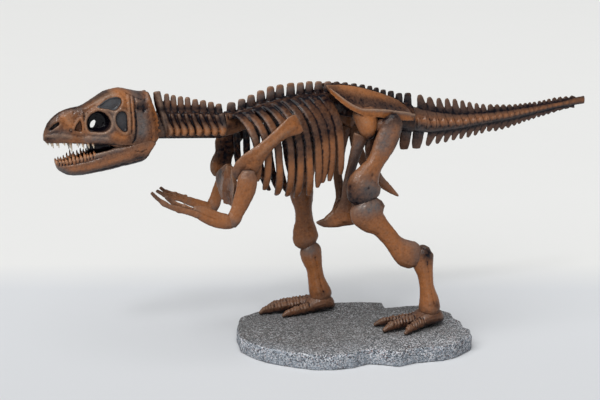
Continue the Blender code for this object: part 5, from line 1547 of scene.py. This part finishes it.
FINGERS = metres(
    {LEFT: (((-558, -138, 515, 22, 16), (-590, -143, 526, 20, 13), (-625, -147, 539, 18, 11),
    (-657, -148, 553, 16, 11), (-686, -147, 575, 13, 9), (-708, -145, 598, 10.5, 8)),
    ((-558, -130, 518, 22, 16), (-586, -122, 531, 18, 12), (-612, -116, 543, 16, 11),
    (-636, -112, 556, 13, 9), (-654, -110, 572, 10.5, 8))),
    RIGHT: (((-524, 128, 498, 22, 16), (-552, 122, 509, 20, 13), (-582, 118, 519, 18, 11),
    (-606, 116, 529, 14, 10), (-626, 116, 541, 10.5, 8)),
    ((-524, 136, 502, 22, 16), (-552, 143, 514, 18, 12), (-576, 148, 522, 16, 11),
    (-592, 150, 531, 12, 9), (-605, 150, 543, 10.5, 8)))})
# chest plate: z, x, half width, curl back of its edges
CHEST_PLATE = metres(((634, -416, 28, 2), (612, -423, 62, 1), (582, -428, 101, 1),
    (555, -431, 93, 4), (530, -430, 74, 6), (508, -427, 56, 6)))
# ridge height and width, distance from the mid-plane, line
SCAPULA_RIDGES = metres(((4, 11, 140, ((-240, 772), (-275, 753), (-320, 718), (-360, 686))),
    (-3, 12, 133, ((-392, 664), (-410, 645)))))
# the pale stripe along the left blade's ridge is a painted highlight
SCAPULA_SPRAYS = coats(
    {LEFT: ((WORN_AND_HIGHLIGHT, 0.85, 9, ((-262, -133, 760), (-300, -133, 736), (-345, -133, 700))),),
    RIGHT: ((ORANGE, 0.9, 18, ((-424, 110, 610), (-412, 110, 592))),
    (DARK_WASH_AND_SHADE, -0.9, 19, ((-428, 110, 606), (-414, 110, 585))),
    (WORN_AND_HIGHLIGHT, 0.85, 7, ((-442, 110, 625), (-438, 110, 600), (-424, 105, 578), (-404, 105, 582),
    (-390, 105, 600))))})
CHEST_SPRAYS = coats(((DARK_WASH_AND_SHADE, 0.85, 22, ((-432, 60, 600), (-436, 75, 575))),
    (DARK_WASH_AND_SHADE, 0.5, 20, ((-434, -50, 570), (-436, -30, 530)))))
CHEST_SCRAPE = coats(((WORN_AND_HIGHLIGHT, 0.8, 6, ((-422, 0, 632), (-434, -30, 600), (-432, -60, 570))),))


def word(side):
    return "left" if side == LEFT else "right"


def knobbly(rows, joints, swell, stout):
    """Finger or toe stations with swollen joints at the given shares of its length."""
    rows = finer(rows, 0.004)
    shares = np.linspace(0.0, 1.0, len(rows))
    bulge = np.zeros(len(rows))
    for joint in joints:
        bulge += np.exp(-((shares - joint) / 0.055) ** 2)
    rows[:, 3:5] *= stout * (1.0 - swell * 0.45 + swell * bulge)[:, None]
    return rows


def end_sprays(rows, tip_dark, middle_orange, radius, smoke=0.7):
    """Joint-to-joint paint of a limb bone: cool grey and dark at both ends, warm between."""
    rows = np.array(rows)
    path = finer(rows, 0.02)[:, :3]
    count = len(path)
    middle = path[int(count * 0.28):max(int(count * 0.75), int(count * 0.28) + 2)]
    return [(ORANGE, middle_orange, radius * 1.5, middle), (SMOKE, smoke, radius, path[:1]),
        (SMOKE, smoke, radius, path[-1:]), (DARK_WASH_AND_SHADE, tip_dark, radius * 0.55, rows[:1, :3]),
        (DARK_WASH_AND_SHADE, tip_dark, radius * 0.55, rows[-1:, :3])]


def dress_limb(piece, node, sprays, ground=(0.35, 0.0, 0.12, 0.06), grey=False, wash_and_shade=1.0):
    """Roughen, paint and hand over one limb bone."""
    roughen(piece, sizes().bone_pitting * 1.2, 0.016)
    roughen(piece, sizes().bone_pitting * 0.5, 0.006, seed=5.0)
    paint(piece, ground, sprays, wash_and_shade=wash_and_shade)
    material, slot = (grey_bone(), "bone_grey") if grey else (brown_bone(), "bone_brown")
    hand_over(piece, node, material)


class STATUE_OT_shoulders(bpy.types.Operator):
    """Make the two shoulder blades"""
    bl_idname = "statue.shoulders"
    bl_label = "Shoulder blades"

    def execute(self, context):
        for side in (LEFT, RIGHT):
            piece = cast("shoulder_blade_" + word(side),
                [draw_bone("blade", SCAPULA[side], sides=24)], sizes().bone_grain, 3)
            ridge(piece, [(height, width, [(x, side * out, z) for x, z in line])
                for height, width, out, line in SCAPULA_RIDGES], flat=False)
            path = [row[:3] for row in SCAPULA[side]]
            if side == LEFT:
                sprays = [(ORANGE, 0.95, 0.03, path[1:4]), (ORANGE, 0.7, 0.03, path[4:7]),
                    *SCAPULA_SPRAYS[side], (DARK_WASH_AND_SHADE, 0.4, 0.012, path[:1]),
                    (SMOKE, 0.4, 0.022, path[-2:]), (DARK_WASH_AND_SHADE, 0.6, 0.014, path[-1:])]
            else:
                # painted shade: the inner face of the far shoulder blade is painted dark
                sprays = [(DARK_WASH_AND_SHADE, 0.92, 0.06, [(x, 0.112, z) for x, _, z in path[1:8]]),
                    *SCAPULA_SPRAYS[side]]
            dress_limb(piece, "scapula_" + word(side), sprays, (0.4, 0.16, 0.08, 0.08))
        return {"FINISHED"}


class STATUE_OT_arms(bpy.types.Operator):
    """Make the two upper arms, forearms and hands"""
    bl_idname = "statue.arms"
    bl_label = "Arms"

    def execute(self, context):
        for side in (LEFT, RIGHT):
            shade = 0.0 if side == LEFT else 0.25
            upper = cast("upper_arm_" + word(side), [draw_bone("bone", HUMERUS[side])],
                sizes().bone_grain, 3)
            dress_limb(upper, "humerus_" + word(side), end_sprays(HUMERUS[side], 0.5 + shade, 0.8,
                0.026))
            lower = cast("forearm_cast_" + word(side), [draw_bone("bone", FOREARM[side])],
                sizes().bone_grain, 3)
            ridge(lower,
                ((-0.0022, 0.0032, [(row[0], row[1] + 0.012 * side, row[2] + 0.001)
                for row in FOREARM[side][2:]]),), flat=False)
            dress_limb(lower, "forearm_" + word(side), end_sprays(FOREARM[side], 0.3 + shade, 0.9,
                0.02, 0.3))
            self.make_hand(side, shade)
        return {"FINISHED"}

    def make_hand(self, side, shade):
        hand = cast("hand_cast_" + word(side),
            [draw_bone("finger", knobbly(row, (0.02, 0.4, 0.72), 0.22, 1.28), sides=12, step=0.004,
            fit=FINGER_FIT, dome=0.5) for row in FINGERS[side]], HAND_GRAIN, 2)
        sprays = []
        for row in FINGERS[side]:
            line = [spot[:3] for spot in row]
            sprays += [(ORANGE, 0.65, 0.014, line[:3]), (DARK_WASH_AND_SHADE, 0.55, 0.008, line[-2:]),
                (DARK_WASH_AND_SHADE, 0.4 + shade, 0.007, line[2:3])]
        dress_limb(hand, "hand_" + word(side), sprays, (0.35, 0.0, 0.2, 0.12))


class STATUE_OT_chest_plate(bpy.types.Operator):
    """Make the plate between the shoulders"""
    bl_idname = "statue.chest_plate"
    bl_label = "Chest plate"

    def execute(self, context):
        rings = []
        for z, x, half, curl in finer(CHEST_PLATE, 0.005):
            front = []
            rear = []
            for t in np.linspace(-1.0, 1.0, 15):
                bend = curl * t * t
                lip = 0.006 * math.exp(-((abs(t) - 0.98) / 0.1) ** 2)
                keel = 0.006 * math.exp(-(t / 0.14) ** 2)
                hollow = 0.004 * math.exp(-((abs(t) - 0.55) / 0.25) ** 2)
                front.append((x + bend - lip * 0.5 - keel + hollow, half * t, z))
                rear.append((x + bend + 0.012 + lip * 0.4, half * t, z))
            rings.append(front + rear[::-1])
        piece = cast("chest_plate_cast", [draw_sections("chest_plate_cast", rings)], CHEST_GRAIN,
            2)
        rims = list(CHEST_SPRAYS)
        for side in (LEFT, RIGHT):
            for layer, strength, radius, first, share in ((SMOKE, 0.25, 0.008, 1, 0.95),
                    (WORN_AND_HIGHLIGHT, 0.75, 0.004, 0, 1.0)):
                rims.append((layer, strength, radius, [(x + curl - 0.003, side * half * share, z)
                    for z, x, half, curl in CHEST_PLATE[first:]]))
        dress_limb(piece, "chest_plate", rims + CHEST_SCRAPE, (0.4, 0.2, 0.1, 0.04), grey=True)
        return {"FINISHED"}


# ---------------------------------------------------------------- hips
# x, z of the upper edge, y and z of the flared rim, sag of the dish between them, and how
# tall the outer face of the rim is (left side)
ILIUM_SECTIONS = metres(((-86, 884, -62, 878, 2, 16), (-66, 884, -86, 859, 8, 19),
    (-30, 882, -104, 830, 15, 20), (5, 877, -112, 812, 18, 20), (50, 866, -114, 807, 18, 24),
    (95, 852, -112, 803, 18, 28), (140, 835, -106, 794, 15, 30), (178, 816, -98, 786, 9, 28),
    (208, 792, -88, 776, 4, 22)))
ILIUM_THICKNESS = 0.012
HIP_PILLAR = metres(((28, -74, 803, 84, 42), (30, -81, 785, 90, 56), (34, -85, 765, 84, 60),
    (38, -87, 737, 68, 56), (42, -86, 712, 38, 36)))
PUBIS_SHAFT = metres(((20, -78, 720, 62, 30), (9, -70, 682, 48, 26), (-4, -58, 620, 38, 24),
    (-15, -44, 556, 34, 24), (-10, -22, 490, 46, 26), (-11, -10, 440, 84, 26),
    (-13, -6, 418, 76, 28)))
PUBIS_WEB = metres(((-12, 0, 478, 30, 30), (-28, 0, 450, 46, 30), (-50, 0, 430, 42, 28),
    (-72, 0, 420, 30, 24)))
PUBIS_BOOT = metres(((-106, 0, 416, 12, 12), (-86, 0, 413, 30, 20), (-50, 0, 416, 50, 30),
    (-15, 0, 420, 56, 34), (20, 0, 416, 44, 30), (52, 0, 410, 20, 18)))
ISCHIUM_SHAFT = metres(((63, -77.3, 721, 54, 27), (58.5, -67.7, 675.5, 48, 24),
    (74, -48, 612, 38, 22), (104, -28, 558, 34, 22), (140, -12, 523, 30, 18),
    (168, -4, 500, 20, 14), (189, 0, 484, 7, 8)))
HIP_INNER_Y = -0.0225        # where the blades meet the spines, on the left side
PUBIS_SPRAYS = coats(((DARK_WASH_AND_SHADE, 0.7, 40, ((-15, 0, 510), (-15, 0, 570), (9, 0, 690))),
    (ORANGE, 0.75, 26, ((-5, -20, 430), (-45, -20, 420))), (DARK_WASH_AND_SHADE, 0.65, 16, ((-92, 0, 414),)),
    (SMOKE, 0.6, 16, ((9, -84, 690), (-15, -56, 556)))))
ISCHIUM_SPRAYS = coats(((ORANGE, 0.8, 40, ((140, 0, 523), (168, 0, 500))),
    (DARK_WASH_AND_SHADE, 0.7, 30, ((63, 0, 700), (74, 0, 630)))))
# y is outward here, on either side
ILIUM_TOP_SPRAYS = coats(
    ((ORANGE, 0.9, 16, ((-30, 30, 878), (20, 35, 872), (60, 40, 858), (110, 40, 840))),
    (DARK_WASH_AND_SHADE, -1.0, 16, ((0, 40, 872), (60, 40, 858)))))
# the dark sprays in front of, behind and under the pillar are painted shade under the hip blade
ILIUM_PILLAR_SPRAYS = coats(((ORANGE, 0.95, 30, ((30, 115, 775), (36, 115, 745))),
    (WORN_AND_HIGHLIGHT, 0.5, 14, ((20, 118, 770),)), (DARK_WASH_AND_SHADE, 0.9, 26, ((-30, 55, 812), (-5, 50, 770))),
    (DARK_WASH_AND_SHADE, 0.9, 26, ((95, 75, 775), (140, 60, 765))), (DARK_WASH_AND_SHADE, 0.9, 18, ((42, 100, 712),))))


def mirrored(rows, side):
    """Stations given for the left side, for either side."""
    return [(row[0], row[1] * -side, row[2]) + tuple(row[3:]) for row in rows]


class STATUE_OT_hips(bpy.types.Operator):
    """Make the dished hip blades and the two bones that hang under them"""
    bl_idname = "statue.hips"
    bl_label = "Hips"

    def execute(self, context):
        for side in (LEFT, RIGHT):
            self.make_blade(side)
        pubis = cast("pubis_cast", [draw_bone("shaft", mirrored(PUBIS_SHAFT, side))
            for side in (LEFT, RIGHT)] + [draw_bone("boot", PUBIS_BOOT, dome=0.6),
            draw_bone("web", PUBIS_WEB)], sizes().bone_grain, 8)
        dress_limb(pubis, "pubis", PUBIS_SPRAYS, (0.3, 0.1, 0.15, 0.05), grey=True)
        ischium = cast("ischium_cast", [draw_bone("shaft", mirrored(ISCHIUM_SHAFT, side))
            for side in (LEFT, RIGHT)], sizes().bone_grain, 3)
        dress_limb(ischium, "ischium", ISCHIUM_SPRAYS, (0.3, 0.0, 0.2, 0.05), grey=True)
        return {"FINISHED"}

    def make_blade(self, side):
        rings = []
        for x, top, rim_y, rim_z, sag, face in finer(ILIUM_SECTIONS, 0.006):
            upper = []
            lower = []
            for t in np.linspace(0.0, 1.0, 19):
                y = HIP_INNER_Y + (rim_y - HIP_INNER_Y) * t
                z = top + (rim_z - top) * t - sag * math.sin(math.pi * t ** 1.2)
                lip = 0.0045 * math.exp(-((t - 0.96) / 0.06) ** 2)
                swell = min(max((t - 0.72) / 0.24, 0.0), 1.0)
                thick = ILIUM_THICKNESS + (face - ILIUM_THICKNESS) * swell * swell * (3
                    - 2 * swell)
                upper.append((y, z + lip - 0.003 * (t > 0.97)))
                lower.append((y + 0.006 * (t > 0.97), z - thick + 0.003 * (t > 0.97)))
            rings.append([(x, y * -side, z) for y, z in upper + lower[::-1]])
        piece = cast("hip_blade_" + word(side),
            [draw_sections("blade", rings), draw_bone("pillar", mirrored(HIP_PILLAR, side))],
            sizes().bone_grain, 4)
        ribs = []
        for x in (-0.03, 0.01, 0.045, 0.085, 0.125):
            section = between(ILIUM_SECTIONS, x)
            ribs.append((0.0016, 0.006, ((x - 0.006, side * 0.045, section[0] - 0.012),
                (x + 0.004, side * 0.095, section[2] - 0.004))))
        ridge(piece, ribs, flat=False)
        top, pillar = [[(layer, strength, radius, [(x, side * y, z) for x, y, z in line])
            for layer, strength, radius, line in table] for table in (ILIUM_TOP_SPRAYS,
            ILIUM_PILLAR_SPRAYS)]
        rim = [(row[0], side * -row[2], row[3] + 0.003) for row in ILIUM_SECTIONS]
        face = [(row[0], side * -row[2], row[3] - row[5] * 0.62) for row in ILIUM_SECTIONS]
        middle = [(row[0], side * 0.06, (row[1] + row[3]) / 2 - row[4]) for row in ILIUM_SECTIONS]
        dress_limb(piece, "ilium_" + word(side),
            [(DARK_WASH_AND_SHADE, 0.75, 0.032, middle[1:8]), (SMOKE, 0.3, 0.016, middle[3:7]), *top,
            (SMOKE, 0.8, 0.012, rim), (WORN_AND_HIGHLIGHT, 0.9, 0.006, rim), (DARK_WASH_AND_SHADE, -0.9, 0.012, rim),
            (DARK_WASH_AND_SHADE, -0.9, 0.014, face), (SMOKE, -0.9, 0.01, face), (ORANGE, 1.0, 0.013, face),
            (DARK_WASH_AND_SHADE, 0.8, 0.012, face[-1:]), *pillar], (0.38, 0.0, 0.05, 0.08), wash_and_shade=0.8)


# ---------------------------------------------------------------- legs
FEMUR = metres({LEFT: ((121, -108, 784, 40, 40), (117, -108, 766, 72, 52),
    (107, -110, 733, 84, 54), (92, -112, 700, 86, 52), (71, -116, 663, 74, 48),
    (48, -120, 628, 66, 48), (26, -124, 598, 90, 58), (11, -128, 570, 122, 70),
    (7, -130, 544, 127, 72), (7, -130, 522, 114, 66), (9, -130, 508, 86, 52)),
    RIGHT: ((66, 106, 742, 40, 40), (52, 107, 728, 66, 50), (19, 114, 703, 72, 50),
    (-20, 124, 667, 62, 46), (-55, 132, 628, 62, 46), (-87, 137, 590, 74, 52),
    (-110, 138, 558, 96, 66), (-120, 138, 535, 88, 64), (-126, 137, 517, 56, 46))})
FEMUR_HEAD = metres({LEFT: ((62, -62, 746, 50, 46), (76, -82, 748, 60, 52),
    (98, -104, 750, 62, 50)), RIGHT: ((53, 80, 736.5, 35, 35), (52, 89, 734, 42, 42),
    (50, 104, 730, 44, 44))})
TIBIA = metres({LEFT: ((14, -131, 514, 78, 52), (17, -132, 498, 114, 68), (22, -134, 470, 134, 72),
    (34, -135, 448, 110, 66), (63, -136, 420, 74, 58), (87, -138, 394, 66, 50),
    (120, -140, 354, 69, 50), (141, -141, 334, 88, 56), (162, -142, 319, 101, 60),
    (185, -142, 310, 96, 58), (202, -142, 304, 72, 46)),
    RIGHT: ((-120, 131, 526, 56, 50), (-116, 132, 508, 86, 66), (-112, 133, 476, 86, 68),
    (-106, 135, 432, 66, 54), (-102, 137, 392, 70, 50), (-99, 139, 350, 94, 54),
    (-93, 140, 316, 96, 58), (-87, 140, 296, 62, 42))})
METATARSUS = metres({LEFT: ((226, -142, 336, 36, 40), (222, -142, 322, 68, 58),
    (220, -142, 290, 81, 60), (230, -142, 240, 58, 52), (238, -142, 190, 55, 52),
    (247, -141, 145, 73, 66), (250, -140, 116, 78, 72), (254, -139, 96, 56, 56)),
    RIGHT: ((-84, 140, 306, 46, 42), (-80, 140, 290, 76, 60), (-74, 141, 258, 80, 62),
    (-62, 142, 212, 62, 54), (-54, 143, 170, 66, 58), (-44, 144, 135, 80, 70),
    (-36, 145, 112, 84, 76), (-32, 145, 94, 60, 60))})
# instep pad, then inner, middle and outer toe
FOOT = metres(
    {LEFT: (((302, -118, 70, 28, 40), (286, -122, 81, 52, 70), (256, -128, 90, 74, 90),
    (220, -134, 83, 60, 90), (194, -138, 73, 40, 70)),
    ((226, -112, 80, 46, 36), (184, -98, 75, 38, 30), (142, -90, 71, 34, 28),
    (104, -86, 69, 30, 24), (84, -84, 65, 24, 20), (73, -83, 60, 16, 14)),
    ((220, -136, 82, 48, 36), (180, -140, 79, 42, 32), (139, -144, 75, 38, 30),
    (104, -148, 71, 32, 26), (88, -150, 66, 26, 22), (77, -152.5, 60.5, 18, 16)),
    ((238, -148, 82, 46, 36), (208, -164, 77, 38, 30), (178, -178, 72, 34, 28),
    (153, -190, 68, 28, 22), (143, -196, 64.5, 23, 18), (133, -201.5, 60, 16, 13))),
    RIGHT: (((6, 148, 66, 26, 40), (-8, 148, 80, 52, 70), (-34, 150, 90, 74, 90),
    (-68, 154, 83, 60, 90), (-92, 156, 73, 40, 70)),
    ((-60, 134, 80, 46, 36), (-100, 127, 74, 38, 30), (-136, 123, 70, 34, 28),
    (-164, 120, 67, 28, 22), (-178, 118, 64, 22, 18), (-188, 117, 59.5, 15, 13)),
    ((-70, 158, 84, 50, 38), (-120, 164, 80, 44, 34), (-168, 168, 76, 40, 32),
    (-212, 171, 72, 34, 28), (-240, 172, 67, 27, 22), (-253, 172, 60.5, 17, 15)),
    ((-56, 174, 86, 48, 36), (-96, 190, 82, 40, 32), (-138, 200, 78, 38, 30),
    (-180, 206, 74, 32, 26), (-206, 208, 68, 24, 20), (-219, 209, 60.5, 16, 13)))})
SOLE = BASE_HEIGHT + 0.0003  # height of the undersides of the feet
FEMUR_RIDGES = metres(((-4, 6, ((10.5, -166, 560),)),
    (3, 14, ((-12, -160, 566), (12, -166, 572), (34, -162, 556))),
    (-3, 10, ((30, -150, 600), (20, -156, 585))), (2.5, 11, ((128, -130, 745), (100, -138, 700)))))
# the dark spray at the top end of the thigh is painted shade under the hip blade
FEMUR_SPRAYS = coats(((DARK_WASH_AND_SHADE, 0.35, 40, ((-20, -160, 545), (20, -165, 530))),
    (SMOKE, 0.9, 36, ((10, -165, 560), (30, -160, 545))),
    (DARK_WASH_AND_SHADE, 0.7, 20, ((-45, -140, 560), (-48, -140, 530))),
    (SMOKE, 0.85, 26, ((84, -138, 735), (70, -140, 690))),
    (DARK_WASH_AND_SHADE, 0.95, 28, ((121, -125, 790), (85, -120, 782))),
    (DARK_WASH_AND_SHADE, 0.95, 20, ((-40, -140, 522), (-10, -150, 512))),
    (DARK_WASH_AND_SHADE, 0.5, 18, ((140, -120, 740), (128, -125, 690))),
    (ORANGE, 0.7, 30, ((112, -130, 725), (75, -145, 640)))))
TIBIA_RIDGES = metres(((3, 9, ((-115, 100, 300), (-85, 105, 420))),
    (-2.5, 10, ((-92, 100, 340), (-80, 105, 430)))))
# on the right shin, a broad dark spray is painted shade
TIBIA_SPRAYS = coats(
    {LEFT: ((SMOKE, 0.85, 26, ((-25, -165, 498), (10, -170, 492), (45, -165, 500))),
    (DARK_WASH_AND_SHADE, 0.7, 16, ((65, -140, 500),)), (SMOKE, 0.5, 25, ((150, -150, 372), (190, -150, 345)))),
    RIGHT: ((DARK_WASH_AND_SHADE, 0.38, 60, ((-116, 130, 500), (-100, 130, 400))),)})
METATARSUS_SPRAYS = coats({LEFT: ((DARK_WASH_AND_SHADE, 1.0, 28, ((214, -172, 334), (230, -172, 312))),
    (WORN_AND_HIGHLIGHT, -1.0, 28, ((214, -172, 334), (230, -172, 312))), (DARK_WASH_AND_SHADE, -0.35, 7, ((220, -172, 326),)),
    (DARK_WASH_AND_SHADE, 0.65, 17, ((262, -168, 135),))), RIGHT: ((SMOKE, 0.9, 26, ((-92, 110, 292),)),
    (DARK_WASH_AND_SHADE, 0.5, 14, ((-40, 112, 128),)))})


class STATUE_OT_legs(bpy.types.Operator):
    """Make the thigh, shin and instep bones of both legs"""
    bl_idname = "statue.legs"
    bl_label = "Legs"

    def execute(self, context):
        for side in (LEFT, RIGHT):
            shade = 0.0 if side == LEFT else 0.2
            thigh = cast("thigh_" + word(side),
                [draw_bone("shaft", FEMUR[side]), draw_bone("head", FEMUR_HEAD[side],
                lateral=(1.0, 0.0, 0.0))], sizes().bone_grain, 4)
            sprays = end_sprays(FEMUR[side], 0.55 + shade, 0.8, 0.04)
            if side == LEFT:
                ridge(thigh, FEMUR_RIDGES, flat=False)
                sprays += FEMUR_SPRAYS
            dress_limb(thigh, "femur_" + word(side), sprays, (0.32, 0.14, 0.16, 0.06))
            shin = cast("shin_" + word(side), [draw_bone("shaft", TIBIA[side])],
                sizes().bone_grain, 4)
            if side == RIGHT:
                ridge(shin, TIBIA_RIDGES, flat=False)
            dress_limb(shin, "tibia_" + word(side), end_sprays(TIBIA[side], 0.45 + shade, 0.9,
                0.04, 0.5) + TIBIA_SPRAYS[side], (0.35, 0.06, 0.12, 0.06))
            instep = cast("instep_" + word(side), [draw_bone("shaft", METATARSUS[side])],
                sizes().bone_grain, 4)
            ridge(instep,
                [(height, width,
                [(row[0] + ahead, row[1] - 0.03, row[2]) for row in METATARSUS[side][2:6]])
                for height, width, ahead in ((0.0022, 0.008, -0.012), (-0.0022, 0.006, 0.004))],
                flat=False)
            dress_limb(instep, "metatarsus_" + word(side), end_sprays(METATARSUS[side], 0.45, 1.0,
                0.036, 0.58) + METATARSUS_SPRAYS[side])
        return {"FINISHED"}


def stand_on_base(piece):
    """Press what reaches under the top of the base up to it."""
    spots = points_of(piece)
    spots[:, 2] = np.maximum(spots[:, 2], SOLE)
    move_points(piece, spots)


class STATUE_OT_feet(bpy.types.Operator):
    """Make the two feet with their knobbly toes and claws"""
    bl_idname = "statue.feet"
    bl_label = "Feet"

    def execute(self, context):
        for side in (LEFT, RIGHT):
            pad, *toes = FOOT[side]
            parts = [draw_bone("pad", pad)]
            sprays = [(ORANGE, 0.4, 0.03, [row[:3] for row in pad[1:3]])]
            marks = []
            for rows in toes:
                parts.append(draw_bone("toe", knobbly(rows, (0.1, 0.36, 0.6, 0.8), 0.14, 1.02),
                    sides=14, step=0.004, fit=FINGER_FIT, dome=0.5))
                line = [row[:3] for row in rows]
                # dark at sole height along each toe is painted shadow under it
                sprays += [(ORANGE, 0.5, 0.014, line[1:4]), (WORN_AND_HIGHLIGHT, 0.55, 0.007, line[4:]),
                    (DARK_WASH_AND_SHADE, 0.95, 0.013, [(x, y, SOLE) for x, y, z in line[:-1]])]
                marks += [((x, y - 0.02, z), (x, y, z + 0.02), (x, y + 0.02, z))
                    for x, y, z in finer(line, 0.011)[2:-1]]
            foot = cast("foot_cast_" + word(side), parts, FOOT_GRAIN, 2)
            ridge(foot, [(0.003, 0.003, mark) for mark in marks], flat=False)
            # pale on the knuckle ridges: painted highlights
            sprays += [(WORN_AND_HIGHLIGHT, 0.55, 0.0026, mark) for mark in marks]
            stand_on_base(foot)
            dress_limb(foot, "foot_" + word(side), sprays, (0.4, 0.34 if side == LEFT else 0.14,
                0.26, 0.04), wash_and_shade=1.3)
            stand_on_base(foot)
        return {"FINISHED"}


# ---------------------------------------------------------------- studio
FLOOR_SIZE = 240.0
FLOOR_DROP = 0.0004          # how far the floor lies under the base
SHADE_EDGES = (-0.55, 0.66, 1.02, 12.0)  # behind the aim point, where the shades change
PAPER_ROUGHNESS = 0.9
AIR_COLOUR = (0.96, 0.98, 1.0, 1.0)
AIR_STRENGTH = 0.26
SUN_PLACE = (-1.8, -1.7, 3.4)
KEY_COLOUR = (1.0, 0.99, 0.97)
SPARKLE_WAY = (1.5, 2.3, -3.0)
SPARKLE_SOFTNESS = math.radians(8.0)
SPARKLE_STRENGTH = 0.4
SENSOR_WIDTH = 36.0


class STATUE_OT_studio(bpy.types.Operator):
    """Set up the pale floor, painted lighter far off as a lit wall would look, the soft lights and
    the camera
    """
    bl_idname = "statue.studio"
    bl_label = "Studio"

    def execute(self, context):
        studio = context.scene.statue_studio
        context.scene.view_settings.view_transform = "Standard"
        self.make_stage(studio)
        self.make_lights(studio)
        self.make_camera(context, studio)
        return {"FINISHED"}

    def make_stage(self, studio):
        put_down()
        bpy.ops.mesh.primitive_plane_add(size=1.0, location=(0.0, 0.0, -FLOOR_DROP))
        floor = bpy.context.object
        floor.name = "studio_floor"
        floor.scale = (FLOOR_SIZE, FLOOR_SIZE, 1.0)
        bpy.ops.object.transform_apply(location=True, rotation=True, scale=True)
        ahead = (-math.sin(studio.camera_turn), math.cos(studio.camera_turn))
        start = studio.aim[0] * ahead[0] + studio.aim[1] * ahead[1]
        floor.data.materials.append(material_named("sweep_paper", sweep_paper, studio.floor_shade,
            studio.far_floor_painted_light, ahead, [start + step for step in SHADE_EDGES], PAPER_ROUGHNESS))

    def make_lights(self, studio):
        world = bpy.data.worlds.new("studio_air")
        bpy.context.scene.world = world
        world.use_nodes = True
        air = world.node_tree.nodes["Background"]
        air.inputs["Color"].default_value = AIR_COLOUR
        air.inputs["Strength"].default_value = AIR_STRENGTH
        key = self.add_sun("soft_key", studio.key_softness, studio.key_strength,
            -Vector(SUN_PLACE))
        key.data.color = KEY_COLOUR
        self.add_sun("small_sparkle", SPARKLE_SOFTNESS, SPARKLE_STRENGTH, Vector(SPARKLE_WAY))

    def add_sun(self, name, softness, strength, way):
        bpy.ops.object.light_add(type="SUN", location=SUN_PLACE)
        lamp = bpy.context.object
        lamp.name = name
        lamp.data.angle = softness
        lamp.data.energy = strength
        lamp.rotation_euler = way.to_track_quat("-Z", "Y").to_euler()
        return lamp

    def make_camera(self, context, studio):
        aim = Vector(studio.aim)
        turn = studio.camera_turn
        place = Vector((aim.x + studio.camera_distance * math.sin(turn),
            aim.y - studio.camera_distance * math.cos(turn), studio.camera_height))
        bpy.ops.object.camera_add(location=place)
        camera = bpy.context.object
        camera.name = "studio_camera"
        camera.rotation_euler = (aim - place).to_track_quat("-Z", "Y").to_euler()
        camera.data.sensor_width = SENSOR_WIDTH
        camera.data.lens = studio.lens
        camera.data.dof.use_dof = False
        context.scene.camera = camera


# ---------------------------------------------------------------- add-on
PIECES = (STATUE_OT_base, STATUE_OT_skull, STATUE_OT_lower_jaw, STATUE_OT_neck, STATUE_OT_back,
    STATUE_OT_tail, STATUE_OT_ribs, STATUE_OT_shoulders, STATUE_OT_arms, STATUE_OT_chest_plate,
    STATUE_OT_hips, STATUE_OT_legs, STATUE_OT_feet, STATUE_OT_studio)
SETTINGS = ((StatueSizes, "statue_sizes"), (StatueFinish, "statue_finish"),
    (StudioSettings, "statue_studio"))


class STATUE_PT_panel(bpy.types.Panel):
    """Lists the pieces of the statue in the order they are made"""
    bl_idname = "STATUE_PT_panel"
    bl_label = "Dinosaur Skeleton Statue"
    bl_space_type = "VIEW_3D"
    bl_region_type = "UI"
    bl_category = "Statue"

    def draw(self, context):
        for group, name in SETTINGS:
            box = self.layout.box()
            settings = getattr(context.scene, name)
            for key in group.__annotations__:
                box.prop(settings, key)
        for piece in PIECES:
            self.layout.operator(piece.bl_idname)


def register():
    for group, name in SETTINGS:
        bpy.utils.register_class(group)
        setattr(bpy.types.Scene, name, PointerProperty(type=group))
    for piece in PIECES:
        bpy.utils.register_class(piece)
    bpy.utils.register_class(STATUE_PT_panel)


def unregister():
    bpy.utils.unregister_class(STATUE_PT_panel)
    for piece in reversed(PIECES):
        bpy.utils.unregister_class(piece)
    for group, name in reversed(SETTINGS):
        delattr(bpy.types.Scene, name)
        bpy.utils.unregister_class(group)


def main():
    register()
    for piece in PIECES:
        group, name = piece.bl_idname.split(".")
        getattr(getattr(bpy.ops, group), name)()


if __name__ == "__main__":
    main()
